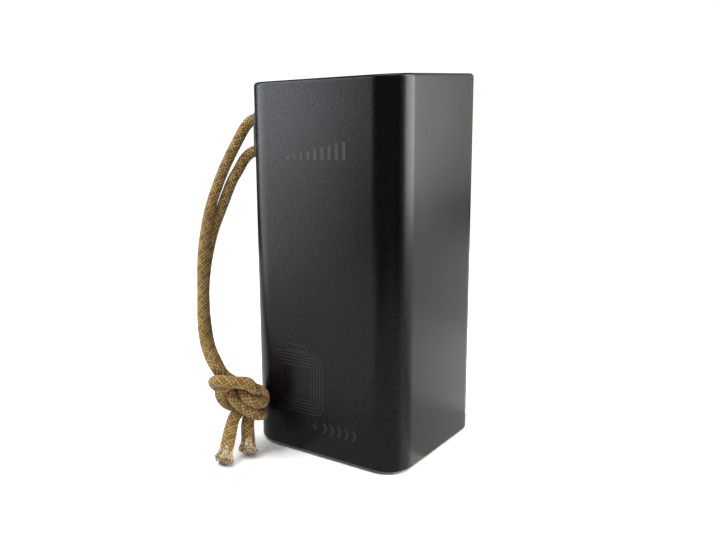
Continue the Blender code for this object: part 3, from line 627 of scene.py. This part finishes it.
def braided_cord(name, line_mm):
    """A braided cord along a line, fatter in the knot and its tail, with a UV map that follows its yarns."""
    line = smooth_line(line_mm, CORD_STEP)
    _, side, other = carried_axes(line)
    rings = len(line)
    turns = np.arange(CORD_SIDES) / CORD_SIDES
    pitches = np.arange(rings) * CORD_STEP / BRAID_PITCH
    swell = KNOT_SWELL * np.clip((KNOT_TOP - line[:, 2]) / SWELL_LENGTH, 0.0, 1.0)
    swell += TAIL_SWELL * np.clip((TAIL_TOP - line[:, 2]) / SWELL_LENGTH, 0.0, 1.0)
    relief = BRAID_RELIEF * (braid_relief(turns[None], pitches[:, None]) - 1.0)
    radius = CORD_RADIUS + swell[:, None] + relief
    angle = 2 * math.pi * turns
    across = np.cos(angle)[None, :, None] * side[:, None] + np.sin(angle)[None, :, None] * other[:, None]
    verts = (line[:, None] + radius[:, :, None] * across).reshape(-1, 3) * MM
    faces = []
    places = []
    for ring in range(rings - 1):
        faces += band(ring * CORD_SIDES, (ring + 1) * CORD_SIDES, CORD_SIDES)
        v0, v1 = pitches[ring], pitches[ring + 1]
        for k in range(CORD_SIDES):
            u0, u1 = k / CORD_SIDES, (k + 1) / CORD_SIDES
            places.extend([(u0, v0), (u1, v0), (u1, v1), (u0, v1)])
    faces.append(tuple(reversed(range(CORD_SIDES))))
    faces.append(tuple(range((rings - 1) * CORD_SIDES, rings * CORD_SIDES)))
    places.extend([(0.5, 0.0)] * CORD_SIDES)
    places.extend([(0.5, pitches[-1])] * CORD_SIDES)
    obj = new_object(name, verts, faces)
    layer = obj.data.uv_layers.new(name="braid")
    layer.data.foreach_set("uv", np.array(places, dtype=np.float32).ravel())
    return obj, line


FRAY_COUNT = 230
FRAY_SIDES = 6
FRAY_POINTS = 7
FRAY_LOWEST = 0.4
FRAY_INSIDE = 4.2
FRAY_OVERLAP = 0.25
FRAY_LENGTH = (5.6, 7.2)
FRAY_SHORTER = 1.6
FRAY_FLARE = (0.16, 0.36)
FRAY_CURL = 0.8
FRAY_THICKNESS = (0.2, 0.38)
FRAY_TAPER = 0.35
FRAY_NUDGE = 1e-6


def frayed_end(name, line, seed):
    """The cut end of a cord: short curling yarn ends that splay out past the tip."""
    chance = random.Random(seed)
    along, side, other = carried_axes(line)
    tip, forward, side, other = line[-1], along[-1], side[-1], other[-1]
    verts = []
    faces = []
    for _ in range(FRAY_COUNT):
        reach = math.sqrt(chance.random())
        turn = 2 * math.pi * chance.random()
        outward = math.cos(turn) * side + math.sin(turn) * other
        start = tip - FRAY_INSIDE * forward + (CORD_RADIUS + FRAY_OVERLAP) * reach * outward
        length = chance.uniform(*FRAY_LENGTH) - FRAY_SHORTER * reach ** 2
        flare = chance.uniform(*FRAY_FLARE) * reach
        curl = chance.uniform(-FRAY_CURL, FRAY_CURL)
        sideways = np.cross(forward, outward)
        thick = chance.uniform(*FRAY_THICKNESS)
        path = []
        for step in range(FRAY_POINTS):
            t = step / (FRAY_POINTS - 1)
            point = start + length * t * forward + (flare * length * t ** 2) * outward
            point = point + curl * t ** 2 * sideways
            point[2] = max(point[2], FRAY_LOWEST)
            path.append(point)
        path = np.array(path)
        _, first, second = carried_axes(path + FRAY_NUDGE * np.arange(FRAY_POINTS)[:, None])
        base = len(verts)
        for step in range(FRAY_POINTS):
            thin = thick * (1.0 - FRAY_TAPER * (step / (FRAY_POINTS - 1)) ** 2)
            for k in range(FRAY_SIDES):
                angle = 2 * math.pi * k / FRAY_SIDES
                offset = math.cos(angle) * first[step] + math.sin(angle) * second[step]
                verts.append((path[step] + thin * offset) * MM)
        for step in range(FRAY_POINTS - 1):
            low = base + step * FRAY_SIDES
            faces += band(low, low + FRAY_SIDES, FRAY_SIDES)
        faces.append(tuple(base + k for k in reversed(range(FRAY_SIDES))))
        last = base + (FRAY_POINTS - 1) * FRAY_SIDES
        faces.append(tuple(last + k for k in range(FRAY_SIDES)))
    return new_object(name, verts, faces)


LOOP_ROUTE = (
    (-36.3, -21.5, 137.5), (-35.0, -21.5, 137.5), (-33.6, -21.5, 136.7), (-32.4, -21.5, 134.8),
    (-32.1, -21.5, 132.4), (-32.1, -21.5, 129.4), (-32.4, -21.5, 127.0), (-33.6, -21.5, 125.1),
    (-35.0, -21.5, 124.3), (-36.3, -21.5, 124.3),
)


def make_lanyard():
    """The two strands with their frayed ends, and the loop that is hidden behind the anchor."""
    upper, upper_path = braided_cord("cord_upper", upper_line)
    lower, lower_path = braided_cord("cord_lower", lower_line)
    fit(upper, "cord", replaced=("lanyard_upper", "lanyard_knot", "lanyard_tail_right"))
    fit(lower, "cord", replaced=("lanyard_lower", "lanyard_tail_left"))
    upper_fray = fit(frayed_end("cord_upper_frayed_end", upper_path, 5), "fray")
    lower_fray = fit(frayed_end("cord_lower_frayed_end", lower_path, 8), "fray")
    loop, _ = braided_cord("cord_loop", smooth_line(LOOP_ROUTE, LINE_SPACING))
    fit(loop, "cord", replaced=("lanyard_loop",))


make_lanyard()

# -------- case pieces


def outline(half_x, half_y, corner, steps, centre=(0.0, 0.0)):
    """A rounded rectangle, anticlockwise, in millimetres."""
    points = []
    for quarter, (sign_x, sign_y) in enumerate(((1, 1), (-1, 1), (-1, -1), (1, -1))):
        for step in range(steps + 1):
            angle = math.pi / 2 * (quarter + step / steps)
            x = centre[0] + sign_x * (half_x - corner) + corner * math.cos(angle)
            y = centre[1] + sign_y * (half_y - corner) + corner * math.sin(angle)
            points.append((x, y))
    return points


def circle(radius, sides, centre=(0.0, 0.0)):
    """A circle, anticlockwise, in millimetres."""
    points = []
    for k in range(sides):
        angle = 2 * math.pi * k / sides
        points.append((centre[0] + radius * math.cos(angle), centre[1] + radius * math.sin(angle)))
    return points


SHARP_ANGLE = 35.0


def loft(name, levels, closed=False):
    """A mesh through flat outlines, each at its own height, in millimetres."""
    count = len(levels[0][0])
    verts = [(x * MM, y * MM, z * MM) for points, z in levels for x, y in points]
    faces = []
    for level in range(len(levels) if closed else len(levels) - 1):
        faces += band(level * count, (level + 1) % len(levels) * count, count)
    if not closed:
        faces.append(tuple(reversed(range(count))))
        faces.append(tuple(range((len(levels) - 1) * count, len(levels) * count)))
    obj = new_object(name, verts, faces)
    obj.data.set_sharp_from_angle(angle=math.radians(SHARP_ANGLE))
    return obj


def settle_mesh(obj):
    """Keep what the piece's modifiers make, as its own plain mesh."""
    bpy.context.view_layer.update()
    graph = bpy.context.evaluated_depsgraph_get()
    mesh = bpy.data.meshes.new_from_object(obj.evaluated_get(graph))
    obj.modifiers.clear()
    obj.data = mesh
    mesh.shade_smooth()
    mesh.set_sharp_from_angle(angle=math.radians(SHARP_ANGLE))
    return obj


def carve(obj, cutter):
    """Cut a piece by another shape, which is then gone."""
    cutting = obj.modifiers.new("carve", "BOOLEAN")
    cutting.solver = "EXACT"
    cutting.object = cutter
    settle_mesh(obj)
    bpy.data.objects.remove(cutter)


def softened(node, name, width_mm, segments=3):
    """A CAD node's shape with its sharp edges rounded, as a piece of its own."""
    bm = bmesh.new()
    bm.from_mesh(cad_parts[node].data)
    bmesh.ops.remove_doubles(bm, verts=bm.verts, dist=0.001 * MM)
    bmesh.ops.dissolve_limit(bm, angle_limit=math.radians(1.0), verts=bm.verts, edges=bm.edges)
    verts = [vert.co.copy() for vert in bm.verts]
    bm.verts.index_update()
    faces = [[vert.index for vert in face.verts] for face in bm.faces]
    bm.free()
    obj = new_object(name, verts, faces)
    bevel = obj.modifiers.new("edges", "BEVEL")
    bevel.width = width_mm * MM
    bevel.segments = segments
    bevel.limit_method = "ANGLE"
    bevel.angle_limit = math.radians(50.0)
    return settle_mesh(obj)


CASE_WALL = 2.2
SLEEVE_EDGE = 0.15
POCKET_GAP = 0.3
RIM_RADIUS = 1.5
CORNER_STEPS = 24
RIM_STEPS = 8
FRONT = CASE_LOW.y


def case_outline(inset):
    """The sleeve's outline, moved in from its outer face."""
    return outline(CASE_HALF - inset, CASE_HALF - inset, CASE_CORNER - inset, CORNER_STEPS)


def make_sleeve():
    """The drawn aluminium sleeve: one wall with fully rounded rims, open at the lanyard's anchor."""
    levels = []
    for step in range(RIM_STEPS + 1):
        angle = math.pi / 2 * step / RIM_STEPS
        inset = RIM_RADIUS * (1 - math.sin(angle))
        levels.append((case_outline(inset), CASE_LOW.z + RIM_RADIUS * (1 - math.cos(angle))))
    for step in range(RIM_STEPS + 1):
        angle = math.pi / 2 * step / RIM_STEPS
        inset = RIM_RADIUS * (1 - math.cos(angle))
        levels.append((case_outline(inset), CASE_HIGH.z - RIM_RADIUS * (1 - math.sin(angle))))
    levels.append((case_outline(CASE_WALL - SLEEVE_EDGE), CASE_HIGH.z))
    levels.append((case_outline(CASE_WALL), CASE_HIGH.z - SLEEVE_EDGE))
    levels.append((case_outline(CASE_WALL), CASE_LOW.z + SLEEVE_EDGE))
    levels.append((case_outline(CASE_WALL - SLEEVE_EDGE), CASE_LOW.z))
    sleeve = loft("sleeve", levels, closed=True)
    low, high = box_mm("lanyard_pocket")
    half_y = (high.y - low.y) / 2 + POCKET_GAP
    half_z = (high.z - low.z) / 2 + POCKET_GAP
    shape = outline(half_z, half_y, half_y * 0.98, 12, (-(low.z + high.z) / 2, (low.y + high.y) / 2))
    cutter = loft("anchor_opening", [(shape, -CASE_HALF - 3.0), (shape, -CASE_HALF + 4.0)])
    cutter.data.transform(Matrix(((0, 0, 1, 0), (0, 1, 0, 0), (-1, 0, 0, 0), (0, 0, 0, 1))))
    carve(sleeve, cutter)
    fit(sleeve, "shell", replaced=("shell",))


make_sleeve()
for node_name, piece_name, edge, look_name in (
    ("lanyard_anchor", "anchor_plate", 0.25, "anchor"),
    ("top_panel", "top_panel_moulding", 0.2, "panel"),
    ("display_window", "display_glass", 0.15, "window"),
    ("bottom_cover", "bottom_cover_moulding", 0.2, "cover"),
):
    fit(softened(node_name, piece_name, edge), look_name, replaced=(node_name,))
for socket in ("usb_a_left", "usb_a_right", "usb_c"):
    shell_piece = softened(socket + "_shell", socket + "_folded_shell", 0.1, 2)
    fit(shell_piece, "socket_steel", replaced=(socket + "_shell",))
    tongue_piece = softened(socket + "_tongue", socket + "_moulded_tongue", 0.12, 2)
    fit(tongue_piece, "tongue", replaced=(socket + "_tongue",))


def make_contacts():
    """The plated contact strips on each socket's tongue."""
    for socket, count, width in (("usb_a_left", 4, 1.0), ("usb_a_right", 4, 1.0), ("usb_c", 8, 0.3)):
        low, high = box_mm(socket + "_tongue")
        pitch = (high.x - low.x) / count
        strips = bmesh.new()
        for k in range(count):
            middle = low.x + pitch * (k + 0.5)
            for side in ((high.y,) if count == 4 else (low.y, high.y)):
                size = (width, 0.16, (high.z - low.z) * 0.7)
                centre = (middle, side, high.z - size[2] / 2 - 0.3)
                made = bmesh.ops.create_cube(strips, size=1.0)["verts"]
                bmesh.ops.scale(strips, vec=[value * MM for value in size], verts=made)
                bmesh.ops.translate(strips, vec=[value * MM for value in centre], verts=made)
        bmesh.ops.bevel(strips, geom=strips.edges[:], offset=0.03 * MM, segments=2, affect="EDGES")
        mesh = bpy.data.meshes.new(socket + "_contacts")
        strips.to_mesh(mesh)
        strips.free()
        fit(shown(socket + "_contacts", mesh), "contact")


make_contacts()

BUTTON_LOW, BUTTON_HIGH = box_mm("power_button")
BUTTON_RADIUS = 4.6
BUTTON_MIDDLE = ((BUTTON_LOW.x + BUTTON_HIGH.x) / 2, (BUTTON_LOW.y + BUTTON_HIGH.y) / 2)


def make_button():
    """The power button: a turned cap with a chamfer, a fine groove and a dished top, on its flange."""
    top = BUTTON_HIGH.z
    low = BUTTON_LOW.z
    flange = (BUTTON_HIGH.x - BUTTON_LOW.x) / 2
    radius = BUTTON_RADIUS
    profile = (
        (flange - 0.1, low), (flange, low + 0.1), (flange, low + 0.9), (flange - 0.1, low + 1.0),
        (radius + 0.02, low + 1.0), (radius, low + 1.05), (radius, top - 0.4), (radius - 0.06, top - 0.22),
        (radius - 0.2, top - 0.06), (radius - 0.36, top), (radius - 0.7, top), (radius - 0.76, top - 0.07),
        (radius - 0.86, top - 0.07), (radius - 0.92, top), (radius - 1.1, top - 0.02),
        (2.4, top - 0.16), (1.2, top - 0.24), (0.3, top - 0.26),
    )
    levels = [(circle(r, 72, BUTTON_MIDDLE), z) for r, z in profile]
    fit(loft("power_button_cap", levels), "button", "button", replaced=("power_button",))


make_button()


SCREW_SIDES = 40
SCREW_TURNS = 3


def make_screw(node):
    """A pan-head screw with a cross recess, under the foot pad."""
    low, high = box_mm(node)
    middle = ((low.x + high.x) / 2, (low.y + high.y) / 2)
    profile = (
        (1.2, low.z), (1.7, low.z + 0.1), (1.93, low.z + 0.3), (2.0, low.z + 0.5), (2.0, low.z + 0.95),
        (1.95, low.z + 1.0), (1.0, low.z + 1.0),
    )
    levels = [(circle(r, SCREW_SIDES, middle), z) for r, z in profile]
    thread = high.z - low.z - 1.15
    for k in range(2 * SCREW_TURNS + 1):
        radius = 1.0 if k % 2 == 0 else 0.78
        height = low.z + 1.05 + thread * k / (2 * SCREW_TURNS)
        levels.append((circle(radius, SCREW_SIDES, middle), height))
    levels.append((circle(0.7, SCREW_SIDES, middle), high.z))
    screw = loft(node + "_turned", levels)
    for half_x, half_y in ((1.2, 0.35), (0.35, 1.2)):
        arm = outline(half_x, half_y, 0.15, 3, middle)
        carve(screw, loft("recess", [(arm, low.z - 1.0), (arm, low.z + 0.5)]))
    fit(screw, "screw", replaced=(node,))


for number in range(1, 5):
    make_screw("bottom_screw_%d" % number)


FOOT_CORNER = 7.0
FOOT_ROUNDING = 0.4
FOOT_STEPS = 4
FOOT_EDGE = 0.1


def make_foot():
    """The rubber foot: a square pad with a rounded lower edge."""
    low, high = box_mm("foot_pad")
    half = high.x
    levels = []
    for step in range(FOOT_STEPS + 1):
        angle = math.pi / 2 * step / FOOT_STEPS
        inset = FOOT_ROUNDING * (1 - math.sin(angle))
        ring = outline(half - inset, half - inset, FOOT_CORNER - inset, 12)
        levels.append((ring, FOOT_ROUNDING * (1 - math.cos(angle))))
    levels.append((outline(half, half, FOOT_CORNER, 12), high.z - FOOT_EDGE))
    inner = outline(half - FOOT_EDGE, half - FOOT_EDGE, FOOT_CORNER - FOOT_EDGE, 12)
    levels.append((inner, high.z))
    fit(loft("foot_pad_moulding", levels), "foot", replaced=("foot_pad",))


make_foot()

# -------- marks


MARK_THICKNESS = 0.05
MARK_SUNK = 0.03


def slab(shapes, height_mm):
    """Flat shapes, each an outline with or without a hole, raised into thin slabs in one bmesh."""
    bm = bmesh.new()
    for outer, inner in shapes:
        layers = []
        for level in (0.0, height_mm):
            for points in (outer, inner):
                if points:
                    layers.append([bm.verts.new(Vector((x, y, level)) * MM) for x, y in points])
        if inner:
            low_out, low_in, high_out, high_in = layers
            walls = ((low_out, high_out), (high_out, high_in), (high_in, low_in), (low_in, low_out))
            for first, second in walls:
                for k in range(len(first)):
                    after = (k + 1) % len(first)
                    bm.faces.new((first[k], first[after], second[after], second[k]))
        else:
            low, high = layers
            for k in range(len(low)):
                after = (k + 1) % len(low)
                bm.faces.new((low[k], low[after], high[after], high[k]))
            bm.faces.new(list(reversed(low)))
            bm.faces.new(high)
    return bm


def mark(name, shapes, turn, look, body="case"):
    """A thin printed or etched mark, drawn flat and then placed by a matrix."""
    bm = slab(shapes, MARK_THICKNESS)
    bmesh.ops.transform(bm, matrix=turn, verts=bm.verts)
    mesh = bpy.data.meshes.new(name)
    bm.to_mesh(mesh)
    bm.free()
    fit(shown(name, mesh), look, body)


def on_front():
    """Drawings' x and y on the front face's x and z, a hair proud of it."""
    place = Matrix.Translation((0.0, (FRONT + MARK_SUNK) * MM, 0.0))
    return place @ Matrix.Rotation(math.radians(90.0), 4, "X")


def on_top(height_mm):
    """Drawings' x and y on the top, with their undersides just below a height."""
    return Matrix.Translation((0.0, 0.0, (height_mm - MARK_SUNK) * MM))


def bar(centre_x, low, high, width, corner):
    """A rounded upright bar."""
    return outline(width / 2, (high - low) / 2, corner, 5, (centre_x, (low + high) / 2)), None


def bolt(centre, size):
    """A lightning bolt, drawn in a box of a given height."""
    shape = ((0.12, 0.5), (-0.3, -0.06), (-0.02, -0.06), (-0.14, -0.5), (0.3, 0.1), (0.03, 0.1))
    return [(centre[0] + x * size, centre[1] + y * size) for x, y in shape], None


def nested(centre, half_x, half_y, corner, line, gap, count):
    """Fine lines nested in one another, from the outer one in."""
    shapes = []
    for k in range(count):
        inset = k * gap
        sizes = (half_x - inset, half_y - inset, max(corner - inset, 0.6))
        inner = (sizes[0] - line, sizes[1] - line, max(sizes[2] - line, 0.3))
        shapes.append((outline(*sizes, 6, centre), outline(*inner, 6, centre)))
    return shapes


# The front's marks, in millimetres: where each starts, its spacing and its sizes
BAR_COUNT = 9
BAR_LEFT = -13.4
BAR_SPACING = 3.2
BAR_FOOT = 121.6
BAR_FIRST_TOP = 123.0
BAR_RISE = 0.68
BAR_WIDTH = 1.3
BATTERY_X = -11.0
BATTERY_LINE = 0.32
CHARGE_HEIGHT = 13.2
BOLT_X = -2.4
BOLT_SIZE = 5.2
CHEVRON_COUNT = 5
CHEVRON_LEFT = 2.2
CHEVRON_SPACING = 3.4
CHEVRON = ((0.2, 0.0), (-1.0, -2.2), (0.2, -2.2), (1.4, 0.0), (0.2, 2.2), (-1.0, 2.2))


def make_front_marks():
    """Generic marks: rising bars above, a battery drawn in fine lines below, and a charging row."""
    bars = []
    for k in range(BAR_COUNT):
        top = BAR_FIRST_TOP + BAR_RISE * k
        bars.append(bar(BAR_LEFT + BAR_SPACING * k, BAR_FOOT, top, BAR_WIDTH, 0.45))
    mark("front_mark_bars", bars, on_front(), "mark")
    battery = nested((BATTERY_X, 30.6), 12.6, 12.8, 4.2, BATTERY_LINE, 1.35, 5)
    battery += nested((BATTERY_X, 45.3), 5.2, 1.4, 0.9, BATTERY_LINE, 0.8, 1)
    mark("front_mark_battery", battery, on_front(), "mark")
    row = [bolt((BOLT_X, CHARGE_HEIGHT), BOLT_SIZE)]
    for k in range(CHEVRON_COUNT):
        middle = CHEVRON_LEFT + CHEVRON_SPACING * k
        row.append(([(middle + x, CHARGE_HEIGHT + z) for x, z in CHEVRON], None))
    mark("front_mark_charge", row, on_front(), "mark")


make_front_marks()


def make_top_marks():
    """The display's lit battery, a bolt and a dash at each port, and the button's symbol."""
    glass_low, glass_high = box_mm("display_window")
    middle = ((glass_low.x + glass_high.x) / 2, (glass_low.y + glass_high.y) / 2)
    lit = nested(middle, 9.0, 4.2, 1.2, 0.5, 1.0, 1)
    lit += [bar(middle[0] + 10.2, middle[1] - 1.4, middle[1] + 1.4, 1.0, 0.4)]
    for k in range(4):
        lit.append(bar(middle[0] - 5.7 + 3.8 * k, middle[1] - 2.8, middle[1] + 2.8, 2.6, 0.4))
    mark("display_bars", lit, on_top(glass_high.z), "lit")
    panel_top = box_mm("top_panel")[1].z
    symbols = []
    for socket in ("usb_a_left", "usb_a_right", "usb_c"):
        low, high = box_mm(socket + "_shell")
        symbols.append(bolt(((low.x + high.x) / 2, low.y - 4.0), 3.0))
        reach = (high.x - low.x) / 2
        symbols.append(bar((low.x + high.x) / 2, high.y + 2.6, high.y + 3.0, reach, 0.18))
    mark("port_symbols", symbols, on_top(panel_top), "mark")
    middle_x, middle_y = BUTTON_MIDDLE
    steps = 40
    ring = []
    for radius, order in ((1.5, range(steps + 1)), (1.15, range(steps, -1, -1))):
        for step in order:
            angle = math.radians(125.0 + 290.0 * step / steps)
            ring.append((middle_x + radius * math.cos(angle), middle_y + radius * math.sin(angle)))
    stem = bar(middle_x, middle_y + 0.3, middle_y + 1.8, 0.35, 0.15)
    mark("button_symbol", [(ring, None), stem], on_top(BUTTON_HIGH.z - 0.2), "lit", "button")


make_top_marks()

# -------- inner pieces

NODE_LOOKS = {
    "lanyard_pocket": "anchor",
    "display_board": "board",
    "display_module": "chip",
    "switch_body": "chip",
    "switch_plunger": "plunger",
    "main_board": "board",
    "power_inductor": "ferrite",
    "capacitor_left": "capacitor",
    "capacitor_right": "capacitor",
    "controller_chip": "chip",
    "charge_chip": "chip",
    "bus_bottom": "nickel",
    "bus_middle": "nickel",
    "bus_top": "nickel",
    "pad_bottom": "pad",
    "pad_top": "pad",
    "lead_red": "red_lead",
    "lead_black": "black_lead",
}

for node_name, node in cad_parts.items():
    if node.hide_render:
        continue
    if node_name.startswith("cell_"):
        dress(node, "cell")
    elif node_name.startswith("holder_"):
        dress(node, "holder")
    else:
        dress(node, NODE_LOOKS[node_name])

# -------- floor and light


FLOOR_MIDDLE = (-60.0, 40.0)
FLOOR_SIDES = 96
FLOOR_RINGS = 10
FLOOR_RING_WIDTH = 40.0


def make_floor():
    """A plain pale disc of table top, which mirror-like surfaces do not see."""
    verts = [(FLOOR_MIDDLE[0] * MM, FLOOR_MIDDLE[1] * MM, 0.0)]
    for ring in range(1, FLOOR_RINGS + 1):
        edge = circle(FLOOR_RING_WIDTH * ring, FLOOR_SIDES, FLOOR_MIDDLE)
        verts.extend((x * MM, y * MM, 0.0) for x, y in edge)
    faces = [(0, 1 + k, 1 + (k + 1) % FLOOR_SIDES) for k in range(FLOOR_SIDES)]
    for ring in range(FLOOR_RINGS - 1):
        low = 1 + ring * FLOOR_SIDES
        faces += band(low + FLOOR_SIDES, low, FLOOR_SIDES)
    floor = new_object("table_top", verts, faces)
    look = Look("table_pale", (0.9, 0.9, 0.9), 0.9, specular=0.05)
    look.paint(look.spread(look.noise(60.0, 2.0), 0.0, 0.2), (0.88, 0.88, 0.88))
    floor.data.materials.append(look.material)
    floor.visible_glossy = False


def make_world():
    """An even white surround. Mirror-like surfaces do not see it: they see the panels below."""
    world = bpy.data.worlds.new("studio")
    world.use_nodes = True
    nodes = world.node_tree.nodes
    links = world.node_tree.links
    background = nodes["Background"]
    background.inputs["Color"].default_value = (1.0, 1.0, 1.0, 1.0)
    strength = nodes.new("ShaderNodeMapRange")
    strength.inputs["To Min"].default_value = WORLD_STRENGTH
    strength.inputs["To Max"].default_value = BACKDROP_STRENGTH
    links.new(nodes.new("ShaderNodeLightPath").outputs["Is Camera Ray"], strength.inputs["Value"])
    links.new(strength.outputs[0], background.inputs["Strength"])
    world.cycles_visibility.glossy = False
    bpy.context.scene.world = world
    bpy.context.scene.view_settings.view_transform = "Standard"


def make_panel_light(name, place_mm, target_mm, size_mm, radiance, colour, seen_by):
    """A soft rectangular panel that faces a point; its radiance is what a mirror would show."""
    width, height = size_mm
    data = bpy.data.lights.new(name, "AREA")
    data.shape = "RECTANGLE"
    data.size = width * MM
    data.size_y = height * MM
    data.energy = radiance * math.pi * width * MM * height * MM
    data.color = colour
    light = bpy.data.objects.new(name, data)
    facing = Vector(target_mm) - Vector(place_mm)
    light.rotation_euler = facing.to_track_quat("-Z", "Y").to_euler()
    light.location = Vector(place_mm) * MM
    light.visible_camera = False
    light.visible_diffuse = seen_by != "glossy"
    light.visible_glossy = seen_by != "dull"
    bpy.context.scene.collection.objects.link(light)


WORLD_STRENGTH = 0.36
BACKDROP_STRENGTH = 1.1
COOL = (0.93, 0.97, 1.0)
WARM = (1.0, 0.985, 0.94)
WHITE = (1.0, 1.0, 1.0)

# Name, place, point faced, width and height, radiance, colour, and which surfaces see it
PANELS = (
    ("panel_left", (-300.0, -275.0, 357.0), (0.0, -275.0, 357.0), (440.0, 485.0), 7.3, COOL, "glossy"),
    ("panel_left_low", (-300.0, -275.0, 57.0), (0.0, -275.0, 57.0), (440.0, 115.0), 4.0, WHITE, "glossy"),
    ("panel_left_edge", (-300.0, -542.0, 357.0), (0.0, -542.0, 357.0), (95.0, 485.0), 2.6, COOL, "glossy"),
    ("panel_right", (435.0, 248.0, 330.0), (16.0, -24.0, 330.0), (410.0, 560.0), 11.6, WARM, "all"),
    ("panel_behind", (205.0, 564.0, 330.0), (0.0, 0.0, 330.0), (330.0, 560.0), 0.9, WARM, "all"),
    ("panel_above", (100.0, 50.0, 1100.0), (100.0, 50.0, 0.0), (900.0, 900.0), 3.0, WHITE, "all"),
    ("fill_front", (900.0, -1500.0, 500.0), (0.0, 0.0, 76.0), (2400.0, 1600.0), 0.22, WHITE, "all"),
    ("fill_back", (-900.0, 1200.0, 500.0), (0.0, 0.0, 76.0), (1600.0, 1000.0), 0.6, WHITE, "all"),
    ("key_left", (-320.0, -260.0, 640.0), (-45.0, -45.0, 60.0), (440.0, 440.0), 9.5, WHITE, "dull"),
)

# Cards just above the table, which only reflections see: name, middle, size, radiance and colour
CARD_HEIGHT = 0.3
CARD_FACING = 90.0
TABLE_CARDS = (
    ("table_left", (-260.0, -230.0), (360.0, 440.0), 1.35, WHITE),
    ("table_near", (-45.0, -262.0), (70.0, 375.0), 1.35, WHITE),
    ("table_corner", (-45.0, -42.5), (70.0, 65.0), 0.5, WHITE),
    ("table_front", (140.0, -135.0), (300.0, 250.0), 0.85, WHITE),
    ("table_right", (275.0, 7.5), (530.0, 75.0), 0.95, WARM),
    ("table_right_mid", (275.0, 107.5), (530.0, 125.0), 1.5, WARM),
    ("table_right_far", (275.0, 370.0), (530.0, 400.0), 1.05, WARM),
    ("table_back", (-215.0, 280.0), (450.0, 540.0), 1.0, WHITE),
    ("table_left_mid", (-238.0, 0.0), (404.0, 20.0), 1.0, WHITE),
)

make_floor()
make_world()
for panel in PANELS:
    make_panel_light(*panel)
for card, middle, size, radiance, colour in TABLE_CARDS:
    facing = (*middle, CARD_FACING)
    make_panel_light(card, (*middle, CARD_HEIGHT), facing, size, radiance, colour, "glossy")
